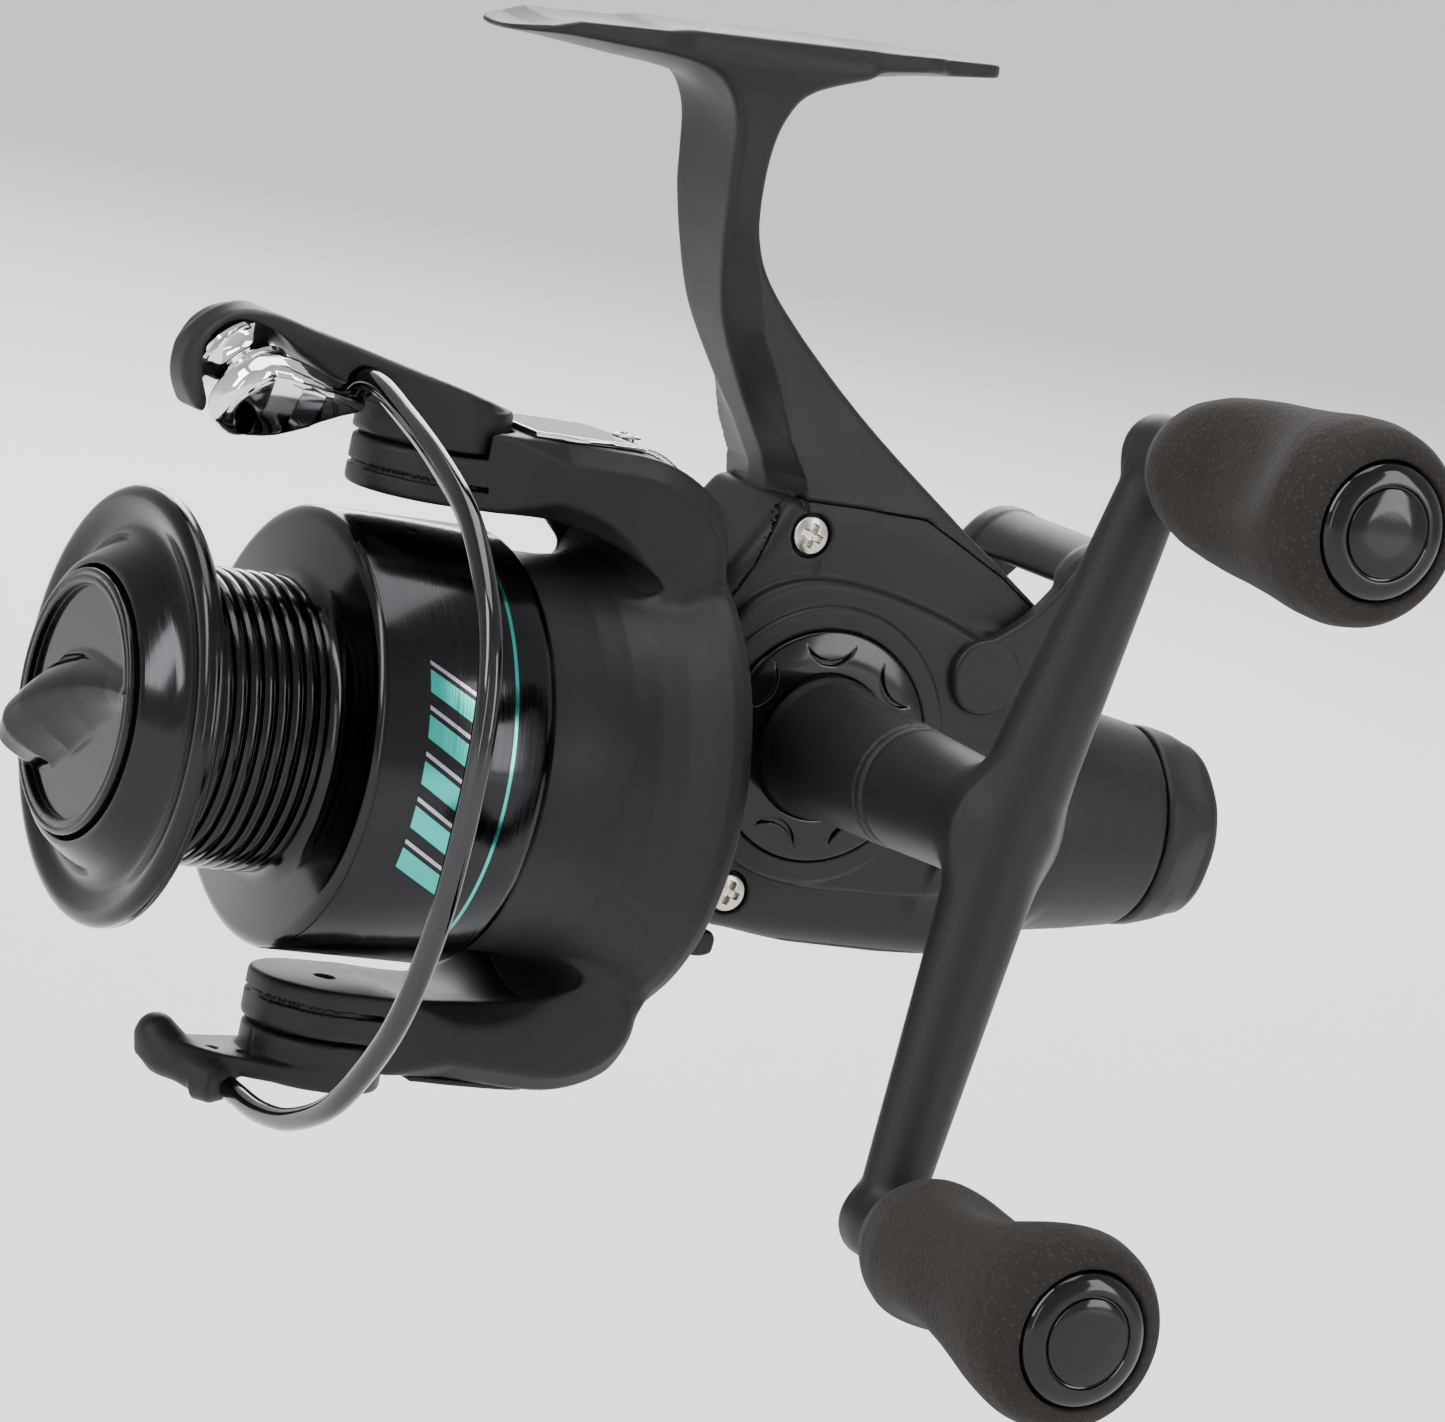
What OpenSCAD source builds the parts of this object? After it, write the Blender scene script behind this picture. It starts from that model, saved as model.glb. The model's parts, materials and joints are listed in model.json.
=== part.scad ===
// Free-spool spinning reel with a double handle, front drag and rear free-spool drag.
// Every module is drawn in the reel frame: x points to the rear along the spool axis, z points up
// to the foot, and the handle stands on the -y side, on an axis at x = 0. Module reel() then
// moves the drawing so that the centre of the foot's seat is the origin.

/* [Foot and stem] */
// Length of the foot along the rod
foot_len = 68; // [60:1:76]
// Width of the foot
foot_w = 16.6; // [15:0.2:19]
// Thickness of the foot in its middle
foot_t = 3.4; // [2.6:0.1:4.5]
// Height of the foot's seat above the spool axis
foot_h = 90.5; // [88:0.5:96]
// Angle by which the foot's front end dips towards the spool axis
foot_tilt = 3.7; // [0:0.1:5]
// Width of the stem below the foot
stem_w = 14; // [11:0.5:15]

/* [Housing] */
// Half the width of the gear housing
house_half = 11; // [11:0.1:12]
// Height of the handle axis above the spool axis
handle_z = 7.6; // [7.6:0.1:7.6]
// Distance from the handle axis to the face of the round bearing boss
boss_y = 14.2; // [14:0.1:15]
// Radius of the glossy disc round the handle shaft
disc_r = 14.3; // [13:0.1:15]
// Radius of the tail in front of the rear knob
tail_r = 13; // [12.5:0.1:13.5]
// Where the tail ends and the rear knob begins
tail_end = 53; // [52:0.5:56]
// Length of the rear knob
rear_knob_len = 9.2; // [8:0.1:12]

/* [Handle] */
// Distance from the handle axis to each knob's axis, upwards
knob_rise = 46.6; // [44:0.1:50]
// Distance from the handle axis to each knob's axis, along the reel
knob_lead = 8.15; // [6:0.05:10]
// Distance from the reel's middle plane to the crank arms at the hub
crank_y = 60; // [58:0.5:64]
// Length of a knob
knob_len = 42; // [38:0.5:46]
// Largest radius of a knob
knob_r = 11.7; // [11:0.1:12.5]

/* [Rotor and bail] */
// Outer radius of the rotor's collar
collar_r = 24.3; // [24.3:0.1:24.5]
// Radius of the rotor's rear rim
rim_r = 30.3; // [30:0.1:31]
// Position of the bail pivots along the spool axis
pivot_x = -53; // [-53:0.1:-52.5]
// Height of the outer face of a rotor arm above the spool axis
arm_z = 39.3; // [39.3:0.1:40]
// How far the bail wire bows out from its two ends
wire_bow = 61; // [58:0.5:62]
// Diameter of the bail wire
wire_d = 2.8; // [2.2:0.1:3]

/* [Spool] */
// Radius of the spool's lip
lip_r = 26.2; // [26:0.1:26.4]
// Radius of the spool's skirt
skirt_r = 26.6; // [26.4:0.1:26.8]
// Radius of the arbor that the line is wound on
arbor_r = 17.3; // [16.8:0.1:18]
// Radius of the front drag knob
drag_r = 15.8; // [15.4:0.1:15.8]

/* [Gears] */
// Teeth on the drive gear
drive_teeth = 52; // [52]
// Teeth on the pinion
pinion_teeth = 10; // [10]
// Teeth on the small spur gear behind the drive gear
spur_teeth = 20; // [20]
// Teeth on the oscillation gear
osc_teeth = 40; // [40]
// Throw of the oscillation gear's crank pin, half the spool's stroke
osc_throw = 7; // [6:0.1:7]

/* [Hidden] */

foot_x = -21.6;                       // middle of the foot along the spool axis
running = 0.05;                       // radial clearance of a shaft that turns or slides
shaft_r = 2;                          // main shaft
crank_shaft_r = 3.5;                  // handle shaft
split_y = -8;                         // plane between the housing and the side cover
lever_at = [21.5, 18.5];              // free-spool lever's pivot, x and z
osc_at = [16.5, -2];                  // oscillation gear's centre, x and z
osc_y = 4.4;                          // near face of the spur and oscillation gears
gear_t = 2.6;                         // thickness of those two gears
spur_module = norm([osc_at[0], osc_at[1] - handle_z]) * 2 / (spur_teeth + osc_teeth);
ratio = drive_teeth / pinion_teeth;   // turns of the rotor for one turn of the handle
pinion_pitch_r = 3.1;
mesh_x = (ratio * pinion_pitch_r + sqrt(pow(ratio * pinion_pitch_r, 2) - 4 * pow(handle_z, 2))) / 2;
mesh_r = norm([mesh_x, handle_z]);    // radius of the drive gear's teeth where they meet the pinion
pinion_lead = 2 * PI * pinion_pitch_r * mesh_x / handle_z;
tooth_y = -2.95;                      // tips of the drive gear's teeth
pinion_tip_r = 3.45;
roller_at = [-78.6, 0.5, 41.8];       // middle of the line roller
roller_dir = [0.34, -0.78, -0.52];    // from the bail arm to the cone
hub_z = 36.3;                         // inner face of the bail arm's hub
pod_r = 9.3;                          // round end of a rotor arm
collar_front = -51;                   // front edge of the rotor's collar
rim_back = -17.6;                     // rear edge of the rotor
tail_start = 32;                      // where the round tail leaves the housing
screw_at = [[-5.2, 32.6], [-6.7, -12.2], [27.5, -9]];  // side cover's screws, x and z
post_end = -2.7;                      // far end of the rear cover screw's post
knob_y = 67.6;                        // where a knob begins, from the middle plane
line_of_centres = atan2(osc_at[1] - handle_z, osc_at[0]);  // drive gear to oscillation gear
cone_at = roller_at + 5.2 * roller_dir / norm(roller_dir);  // middle of the cone's round end
wire_top = [-65.4, -2.4, 41.2];       // where the cone's tip meets the wire
wire_end = [-64.8, 0];                // bow's open side, x and y
wire_turn = 5.2;                      // degrees by which the bow's plane leans forwards
// bends of the wire, [share of the bow, z]
wire_bends = [[0.035, 41.6], [0.09, 43], [0.17, 42.6], [0.33, 41], [0.68, 35.4], [0.9, 26],
  [1, 13], [1, 0], [0.93, -17], [0.74, -32.5], [0.46, -41.4], [0.24, -43.2], [0.02, -43.2]];

coat = [0.16, 0.16, 0.17];
gloss = [0.05, 0.05, 0.06];
foam = [0.23, 0.22, 0.21];
dark_plastic = [0.12, 0.12, 0.13];
white_plastic = [0.85, 0.85, 0.8];
steel = [0.8, 0.8, 0.82];
spring = [0.75, 0.75, 0.78];
nickel = [0.75, 0.74, 0.7];
chrome = [0.84, 0.85, 0.87];
zinc = [0.72, 0.73, 0.75];
brass = [0.75, 0.62, 0.3];
fibre = [0.33, 0.28, 0.23];

module reel() { translate([-foot_x, 0, -foot_h]) children(); }

// Puts a drawing's z axis on the reel's x axis
module on_x(x = 0) { translate([x, 0, 0]) rotate([0, 90, 0]) children(); }

// Puts a drawing's z axis on -y, at a point given by x and z
module on_y(at = [0, 0]) { translate([at[0], 0, at[1]]) rotate([90, 0, 0]) children(); }

// A solid of revolution about the spool axis from points [x, r]
module turned(points) { on_x() rotate_extrude($fn = 96) polygon([for (p = points) [p[1], p[0]]]); }

// A ring or washer about the spool axis
module ring_x(x0, x1, r_out, r_in) {
  on_x(x0) difference() {
    cylinder(h = x1 - x0, r = r_out, $fn = 64);
    translate([0, 0, -1]) cylinder(h = x1 - x0 + 2, r = r_in, $fn = 64);
  }
}

// A cylinder along y between two y values, at x and z
module rod_y(y0, y1, r, at, sides = 64) {
  on_y(at) translate([0, 0, -y1]) cylinder(h = y1 - y0, r = r, $fn = sides);
}

// A side outline of points [x, z] made solid between two y values
module slab(points, y0, y1) { on_y() translate([0, 0, -y1]) linear_extrude(y1 - y0) polygon(points); }

// A plan outline of points [x, y] made solid between two z values
module plan(points, z0, z1) { translate([0, 0, z0]) linear_extrude(z1 - z0) polygon(points); }

function unit(v) = v / norm(v);

// Points on an arc in two dimensions
function arc(c, r, a0, a1, n = 8) =
  [for (i = [0:n]) c + r * [cos(a0 + (a1 - a0) * i / n), sin(a0 + (a1 - a0) * i / n)]];

// A round tube along a path, as one closed polyhedron
function tangent(path, i) = unit(path[min(i + 1, len(path) - 1)] - path[max(i - 1, 0)]);
module tube(path, r, sides = 10) {
  rings = [for (i = [0:len(path) - 1])
    let(t = tangent(path, i), a = unit(cross(t, [1, 0, 0])), b = cross(t, a))
    for (k = [0:sides - 1]) path[i] + r * (cos(360 * k / sides) * a + sin(360 * k / sides) * b)];
  last = (len(path) - 1) * sides;
  polyhedron(rings, concat(
    [[for (k = [0:sides - 1]) k]],
    [for (i = [0:len(path) - 2], k = [0:sides - 1], half = [0, 1])
      let(n = (k + 1) % sides, a = i * sides, b = a + sides)
      half == 0 ? [a + k, b + k, b + n] : [a + k, b + n, a + n]],
    [[for (k = [sides - 1:-1:0]) last + k]]));
}

// A compression spring along x
module spring_x(x0, x1, r, wire_r, turns) {
  steps = 12;
  tube([for (i = [0:turns * steps])
    [x0 + (x1 - x0) * i / (turns * steps), r * cos(360 * i / steps), r * sin(360 * i / steps)]],
    wire_r, 6);
}

// Housing side outline, [x, z]
house = concat(
  [[-16.6, 24.5], [-16.6, -8.6], [-14.2, -9.4]], arc([-8, -10.6], 6.3, 180, 262, 6),
  [[5, -18.3], [19, -18.6], [tail_start, -17.2], [tail_start, 24.2], [22.8, 30.2], [1.5, 36.5],
    [-8.5, 36.5]]);
// Stem and web side outline, [x, z]
stem = [[-27, 87.4], [-24.4, 83], [-23.9, 75], [-22.6, 66], [-20.3, 58], [-16.2, 50], [-11.5, 43.7],
  [-8.5, 38.5], [-8.2, 34], [-13.5, 28], [-13.5, 20], [38, 14], [38, 21], [33.4, 24.3], [22.8, 31.6],
  [15.1, 36.6], [1.1, 47.2], [-9.4, 56], [-15, 61.5], [-17, 65.5], [-18, 71], [-18.4, 78],
  [-17.6, 84], [-14, 88.6]];

module foot_plate() {
  half = foot_len / 2;
  translate([foot_x, 0, foot_h]) rotate([0, -foot_tilt, 0]) intersection() {
    slab([[-half, 0], [half, 0], [half, -1.6], [half - 14, -foot_t], [-half + 20, -foot_t],
      [-half + 4, -2.4], [-half, -2.8]], -foot_w / 2, foot_w / 2);
    plan(concat(arc([-half + 3, 0], 3, 180, 180, 1), [[-half, -foot_w / 2 + 2], [-half + 2, -foot_w / 2],
      [half - 12, -foot_w / 2], [half - 9, -foot_w / 2 + 2.2], [half, -foot_w / 2 + 2.6],
      [half, foot_w / 2 - 2.6], [half - 9, foot_w / 2 - 2.2], [half - 12, foot_w / 2],
      [-half + 2, foot_w / 2], [-half, foot_w / 2 - 2]]), -6, 1);
  }
}

// Stem: the side outline, cut to a front view that narrows towards the housing
module stem_web() {
  intersection() {
    slab(stem, -stem_w / 2, stem_w / 2);
    on_x(-60) linear_extrude(120) polygon([[-88.7, -7], [-88.7, 7], [-70, 6.4], [-52, 6], [-36, 7],
      [0, 7], [0, -7], [-36, -7], [-52, -6], [-70, -6.4]]);
  }
}

module main_body() {
  color(coat) difference() {
    union() {
      foot_plate();
      stem_web();
      slab(house, split_y, house_half);
      turned([[tail_start, 0], [tail_start, 15.4], [38, 15], [46, 14], [tail_end, tail_r],
        [tail_end, 0]]);
      ring_x(-23.4, -16.6, 9.6, 4);
      rod_y(house_half - 1, boss_y - 0.6, 12.4, [0, handle_z]);
    }
    // gear chamber, open to the side cover
    intersection() {
      rod_y(split_y - 1, 8.6, 16.6, [0, handle_z]);
      slab([[-15.2, -16], [40, -16], [40, 30], [-15.2, 30]], -20, 20);
    }
    slab([[-4, -15.6], [29, -15.6], [29, 15], [15, 24], [0, 24], [-4, 0]], split_y - 1, 8.6);
    rod_y(split_y - 1, osc_y + gear_t + 0.8, 13.9, osc_at);
    // chamber and bore of the tail
    on_x(28) cylinder(h = tail_end - 27, r = 10.2, $fn = 64);
    // pinion bearing and clutch seats, and the pinion's way in
    on_x(-24) cylinder(h = 5.65, r = 8.32, $fn = 64);
    on_x(-18.5) cylinder(h = 3.6, r = 6.52, $fn = 64);
    on_x(-15) cylinder(h = 7, r = 4.6, $fn = 64);
    // far bearing seat and cap seat
    rod_y(8, 12.02, 6.02, [0, handle_z]);
    rod_y(12, boss_y + 1, 8.05, [0, handle_z]);
    // free-spool lever's pin
    rod_y(-20, 20, 2.02, lever_at);
    // anti-reverse lever's spindle
    translate([0, 0, -12.5]) on_x(-20) cylinder(h = 12, r = 1.55, $fn = 48);
    // guide rod's blind hole
    translate([0, 0, -11]) on_x(20) cylinder(h = 11.2, r = 1.27, $fn = 48);
    // screw holes for the side cover
    for (p = screw_at) rod_y(split_y - 1, 1, 1.25, p);
  }
  // post that the oscillation gear turns on
  color(coat) rod_y(osc_y - 0.6, 9, 2.2, osc_at);
  // post for the rear cover screw
  color(coat) difference() {
    rod_y(split_y, post_end, 2.6, screw_at[2]);
    rod_y(split_y - 1, 1, 1.25, screw_at[2]);
  }
}

module side_cover() {
  color(coat) difference() {
    union() {
      slab(house, -house_half, split_y - 0.02);
      rod_y(-boss_y, -house_half + 0.5, 17.5, [0, handle_z]);
    }
    // room for the drive gear
    rod_y(-9.3, split_y + 1, 15.2, [0, handle_z]);
    // near bearing and trim disc seats
    rod_y(-13.4, -9.2, 6.02, [0, handle_z]);
    rod_y(-boss_y - 1, -13.3, disc_r + 0.1, [0, handle_z]);
    rod_y(-20, -5, 4.4, [0, handle_z]);
    rod_y(-20, -7, 2.02, lever_at);
    for (p = screw_at) {
      rod_y(-20, -5, 1.5, p);
      rod_y(-20, -9.8, 2.8, p);
    }
  }
}

module cover_screws() {
  color(nickel) for (p = screw_at) difference() {
    union() {
      rod_y(-9.85, post_end - 0.5, 1.2, p);
      rod_y(-11.4, -9.81, 2.5, p);
    }
    translate([p[0], -11.2, p[1]]) cube([3, 1, 0.7], center = true);
    translate([p[0], -11.2, p[1]]) cube([0.7, 1, 3], center = true);
  }
}

module trim_disc() {
  color(gloss) difference() {
    rod_y(-boss_y - 0.5, -13.35, disc_r, [0, handle_z]);
    rod_y(-20, -5, 9.0, [0, handle_z]);
  }
}

module far_cap() {
  color(coat) difference() {
    union() {
      rod_y(13.0, boss_y + 0.4, 8, [0, handle_z]);
      rod_y(12.3, 13.1, 6.4, [0, handle_z]);
    }
    translate([0, boss_y + 0.4, handle_z]) cube([11, 1.4, 1.6], center = true);
  }
}

module bearing_y(y0, y1, r_in) {
  difference() {
    rod_y(y0, y1, 6, [0, handle_z]);
    rod_y(y0 - 1, y1 + 1, r_in, [0, handle_z]);
  }
}

module near_bearing() { color(steel) bearing_y(-13.2, -9.4, crank_shaft_r + running); }
module far_bearing() { color(steel) bearing_y(8.4, 11.9, crank_shaft_r + running); }
module pinion_bearing() { color(steel) ring_x(-18.3, -15, 6.5, 3 + running); }
module one_way_clutch() { color(brass) ring_x(-23.2, -18.4, 8.3, 3 + running); }

module guide_rod() {
  color(steel) translate([0, 0, -11]) on_x(3) cylinder(h = 28, r = 1.25, $fn = 48);
}

module bait_drum() {
  color(brass) {
    ring_x(33, 43.5, 4.6, shaft_r + running);
    ring_x(33, 35, 7.2, 4);
    on_x(33) for (i = [0:17]) rotate([0, 0, i * 20])
      translate([7.4, 0, 1]) cube([1.8, 1.4, 2], center = true);
  }
}

module bait_washers() {
  for (i = [0:3])
    color(i % 2 == 0 ? fibre : steel) ring_x(35.3 + i * 1.5, 36.5 + i * 1.5, 9.6, 4.9);
}

module rear_spring() { color(spring) spring_x(42.4, 49.4, 6.6, 0.55, 4); }

module lever_pin() { color(steel) rod_y(-13.4, 13.4, 2, lever_at); }

module handle_shaft() {
  color(steel) {
    rod_y(-14.6, 12.2, crank_shaft_r, [0, handle_z]);
    rod_y(-36, -14.5, 4.2, [0, handle_z], 6);
  }
}

// Spur gear in the xz plane: trapezoid teeth on a root disc
module spur(at, y0, y1, teeth, m, turn) {
  pitch_r = teeth * m / 2;
  on_y(at) translate([0, 0, -y1]) linear_extrude(y1 - y0) union() {
    circle(r = pitch_r - 0.95 * m, $fn = 72);
    for (i = [0:teeth - 1]) rotate(turn + i * 360 / teeth)
      polygon([[pitch_r - 1.3 * m, -0.72 * m], [pitch_r + 0.75 * m, -0.3 * m],
        [pitch_r + 0.75 * m, 0.3 * m], [pitch_r - 1.3 * m, 0.72 * m]]);
  }
}

module drive_gear() {
  mesh_angle = atan2(-handle_z, -mesh_x);
  color(zinc) difference() {
    union() {
      rod_y(-6.6, tooth_y - 0.9, mesh_r + 1.3, [0, handle_z], 96);
      // radial teeth on the face towards the pinion, with a gap at the pinion's own tooth
      for (i = [0:drive_teeth - 1]) on_y([0, handle_z])
        rotate(mesh_angle + (i + 0.5) * 360 / drive_teeth)
          translate([mesh_r, 0, -tooth_y + 0.5]) cube([2.6, 0.5, 1], center = true);
      rod_y(-9, osc_y, 4.9, [0, handle_z]);
      spur([0, handle_z], osc_y - 0.2, osc_y + gear_t, spur_teeth, spur_module, line_of_centres);
    }
    rod_y(-20, 20, crank_shaft_r + 0.01, [0, handle_z]);
    rod_y(-8, tooth_y - 2.9, mesh_r - 2.6, [0, handle_z]);
  }
  color(zinc) difference() {
    rod_y(-9, tooth_y - 1, 6, [0, handle_z]);
    rod_y(-20, 20, crank_shaft_r + 0.01, [0, handle_z]);
  }
}

module shaft_collar() {
  color(coat) difference() {
    on_y([0, handle_z]) translate([0, 0, 15.2]) cylinder(h = 22.8, r1 = 8.6, r2 = 7.5, $fn = 72);
    rod_y(-36.05, -10, 4.25, [0, handle_z], 6);
  }
}

// One crank arm, from the hub to a knob's boss; side is 1 upwards and -1 downwards
module crank_arm(side) {
  hull() {
    on_y([0, handle_z]) translate([0, 0, crank_y - 4.4]) cylinder(h = 8, r = 6, $fn = 32);
    on_y([side * 0.45 * knob_lead, handle_z + side * 0.45 * knob_rise])
      translate([0, 0, crank_y - 1.6]) cylinder(h = 6.4, r = 4.7, $fn = 32);
  }
  hull() {
    on_y([side * 0.45 * knob_lead, handle_z + side * 0.45 * knob_rise])
      translate([0, 0, crank_y - 1.6]) cylinder(h = 6.4, r = 4.7, $fn = 32);
    on_y([side * knob_lead, handle_z + side * knob_rise])
      translate([0, 0, crank_y + 1.2]) cylinder(h = 6.0, r = 4.2, $fn = 32);
  }
}

module handle_crank() {
  color(coat) {
    on_y([0, handle_z]) translate([0, 0, 38.2]) cylinder(h = crank_y - 36, r1 = 7.5, r2 = 6.4, $fn = 72);
    crank_arm(1);
    crank_arm(-1);
  }
}

function knob_at(side) = [side * knob_lead, handle_z + side * knob_rise];

module knob_posts() {
  color(steel) for (side = [-1, 1])
    rod_y(-knob_y - 34, -crank_y - 7.22, 2.2, knob_at(side));
}

// Foam grip: a pear shape with two opposite scoops, turned by scoop degrees
module grip(side, scoop) {
  l = knob_len;
  color(foam) on_y(knob_at(side)) translate([0, 0, knob_y]) difference() {
    rotate_extrude($fn = 72) polygon([[4.05, 0], [5, 0], [7.4, 0.11 * l], [9.3, 0.24 * l],
      [10.3, 0.43 * l], [11.0, 0.66 * l], [knob_r, 0.82 * l], [knob_r - 0.5, 0.93 * l],
      [knob_r - 1.6, l], [8.1, l], [8.1, l - 3.4], [4.05, l - 3.4]]);
    rotate(scoop) for (s = [-1, 1]) translate([0, s * 33.4, 0.46 * l]) rotate([0, 90, 0])
      cylinder(h = 40, r = 26.4, center = true, $fn = 96);
  }
}

// Plastic core that turns on the post
module core(side) {
  color(dark_plastic) on_y(knob_at(side)) translate([0, 0, knob_y - 0.2]) difference() {
    cylinder(h = knob_len - 3.4, r = 4, $fn = 48);
    translate([0, 0, -1]) cylinder(h = knob_len - 6, r = 2.2 + running, $fn = 48);
  }
}

module cap(side) {
  color(gloss) on_y(knob_at(side)) translate([0, 0, knob_y + knob_len - 3.3])
    rotate_extrude($fn = 72)
      polygon([[0, 0], [8, 0], [8, 2.9], [7.4, 3.9], [5.4, 4.3], [5.2, 4.0], [0, 4.0]]);
}

module upper_grip() { grip(1, -75); }
module upper_core() { core(1); }
module upper_cap() { cap(1); }
module lower_grip() { grip(-1, 15); }
module lower_core() { core(-1); }
module lower_cap() { cap(-1); }

// Rotor arm side outline, [x, z], with its front pod left lower for the bail arm's hub
arm_side = concat([[pivot_x - pod_r, 29.8], [pivot_x - pod_r, 35.9], [pivot_x + 9.6, 35.9],
    [pivot_x + 9.6, arm_z]],
  arc([-30, arm_z - 14], 14, 90, 28, 6), [[rim_back, 27.5], [-19.8, 25], [-24, 21], [-28.5, 22],
  [-30, 26], [-33, 28.8], [-38, 29.8]]);
arm_plan = concat(arc([pivot_x, 0], pod_r, 270, 90, 12), [[-40, 10.2], [-28, 13], [rim_back, 17.5],
  [rim_back, -17.5], [-28, -13], [-40, -10.2]]);

module rotor_arm() {
  difference() {
    intersection() {
      slab(arm_side, -20, 20);
      plan(arm_plan, 0, 60);
    }
    // pocket of the bail spring and the pivot screw's hole
    translate([-33.5, 0, 35.7]) cube([19, 9, 4.4], center = true);
    translate([pivot_x, 0, 28]) cylinder(h = 12, r = 1.3, $fn = 48);
    translate([pivot_x, 0, 35.91]) cylinder(h = 10, r = 9.5, $fn = 64);
    translate([-27, 0, 36.8]) cylinder(h = 8, r = 1.08, $fn = 32);
    translate([-20, 0, 0]) turned([[-60, 0], [-60, collar_r - 1], [-8.6, collar_r - 1], [-8.6, 0]]);
  }
}

module rotor_frame() {
  color(coat) {
    turned([[collar_front, 22.2], [collar_front, collar_r], [-33, collar_r], [-28.6, collar_r + 0.6],
      [-24.5, 26.2], [-21, 28.6], [-18.6, rim_r], [rim_back, rim_r], [rim_back, rim_r - 1.8],
      [-20.5, 26.5], [-24.2, 23],
      [-24.6, 14], [-24.6, 3.02], [-33, 3.02], [-33, 7.6], [-27.4, 9], [-27.4, 20.6], [-30, 22.2]]);
    rotor_arm();
    mirror([0, 0, 1]) rotor_arm();
  }
}

module pinion() {
  turn = 360 * 7 / pinion_lead;
  color(brass) difference() {
    union() {
      on_x(-34) cylinder(h = 20, r = 3, $fn = 48);
      on_x(-14.5) cylinder(h = 8, r = 2.8, $fn = 48);
      // helical teeth that run with the drive gear's radial ones
      on_x(-mesh_x - 3.5) rotate(90 + 0.5 * turn) linear_extrude(7, twist = turn, slices = 12)
        for (i = [0:pinion_teeth - 1]) rotate(i * 360 / pinion_teeth)
          polygon([[2.5, -0.5], [pinion_tip_r, -0.26], [pinion_tip_r, 0.26], [2.5, 0.5]]);
    }
    on_x(-40) cylinder(h = 40, r = shaft_r + running, $fn = 48);
  }
}

module rotor_nut() {
  color(nickel) difference() {
    on_x(-36.2) cylinder(h = 3.1, r = 6.2, $fn = 6);
    on_x(-40) cylinder(h = 6.1, r = shaft_r + 0.3, $fn = 48);
    on_x(-34) cylinder(h = 2, r = 3.02, $fn = 48);
  }
}

// Cover strip that follows the outside of a rotor arm
module arm_strip() {
  difference() {
    intersection() {
      slab(concat([[pivot_x + 9.9, arm_z], [pivot_x + 9.9, arm_z + 0.8]],
        arc([-30, arm_z - 14], 14.8, 90, 28, 6),
        arc([-30, arm_z - 14], 14.02, 28, 90, 6)), -20, 20);
      plan([[-46, -8], [-30, -8.6], [-15, -10], [-15, 10], [-30, 8.6], [-46, 8]], 0, 60);
    }
    translate([-27, 0, 30]) cylinder(h = 20, r = 1.1, $fn = 32);
  }
}

module arm_cover() { color(chrome) arm_strip(); }
module lower_arm_cover() { color(coat) mirror([0, 0, 1]) arm_strip(); }

module arm_screws() {
  color(nickel) for (s = [0, 1]) mirror([0, 0, s]) {
    translate([-27, 0, arm_z - 2]) cylinder(h = 3, r = 1.05, $fn = 32);
    translate([-27, 0, arm_z + 0.75]) cylinder(h = 0.6, r = 1.9, $fn = 32);
  }
}

module bail_spring() {
  color(spring) translate([0, 0, 35.75]) spring_x(-41, -29.2, 1.6, 0.35, 5);
}

module bail_arm() {
  roller_end = roller_at - 3.6 * unit(roller_dir);
  color(coat) difference() {
    union() {
      translate([pivot_x, 0, hub_z]) cylinder(h = 6, r = 8.9, $fn = 64);
      // rear point that overhangs the rotor arm's cover
      hull() {
        translate([pivot_x, 0, arm_z + 1.3]) cylinder(h = 2.6, r = 8.4, $fn = 32);
        translate([pivot_x + 10.4, 0, arm_z + 1.3]) cylinder(h = 0.8, r = 0.8, $fn = 16);
      }
      hull() {
        translate([pivot_x, 0, 40.2]) cylinder(h = 4.2, r = 7, $fn = 32);
        translate([-66, 1.6, 41.8]) cylinder(h = 4.4, r = 4.8, $fn = 32);
      }
      hull() {
        translate([-66, 1.6, 41.8]) cylinder(h = 4.4, r = 4.8, $fn = 32);
        translate([-78, 2, 44.0]) cylinder(h = 4, r = 5.2, $fn = 32);
      }
      hull() {
        translate([-78, 2, 44.4]) cylinder(h = 3.4, r = 5.2, $fn = 32);
        translate(roller_end + [-1.6, 1.4, 0]) sphere(r = 4.6, $fn = 32);
      }
    }
    translate([pivot_x, 0, 30]) cylinder(h = 20, r = 1.55, $fn = 48);
    translate([pivot_x, 0, 42.4]) cylinder(h = 10, r = 3.4, $fn = 48);
    // room for the cone's tip and the wire's end
    cone_shape(0.15);
    tube([for (p = curve([for (i = [0:4]) wire_bends[i]])) wire_point(p)], wire_d / 2 + 0.35);
    // face that the line roller turns against
    translate(roller_at - 3.1 * unit(roller_dir)) along(roller_dir) cylinder(h = 14, r = 6.2, $fn = 48);
    translate(roller_at - 6 * unit(roller_dir)) along(roller_dir) cylinder(h = 14, r = 1.25, $fn = 32);
  }
}

// Puts a drawing's z axis on a direction
module along(d) {
  u = unit(d);
  rotate([0, acos(u[2]), atan2(u[1], u[0])]) children();
}

module line_roller() {
  color(chrome) translate(roller_at) along(roller_dir) rotate_extrude($fn = 64)
    polygon([[1.5, -2.8], [4.9, -2.8], [5.0, -2.2], [3.9, -0.6], [3.9, 0.8], [4.6, 2.4], [1.5, 2.4]]);
}

module cone_shape(more = 0) {
  hull() {
    translate(cone_at) along(roller_dir)
      cylinder(h = 4.4 + 2 * more, r1 = 5.6 + more, r2 = 4.2 + more, center = true, $fn = 32);
    translate(wire_top) sphere(r = 1.9 + more, $fn = 24);
  }
}

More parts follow.
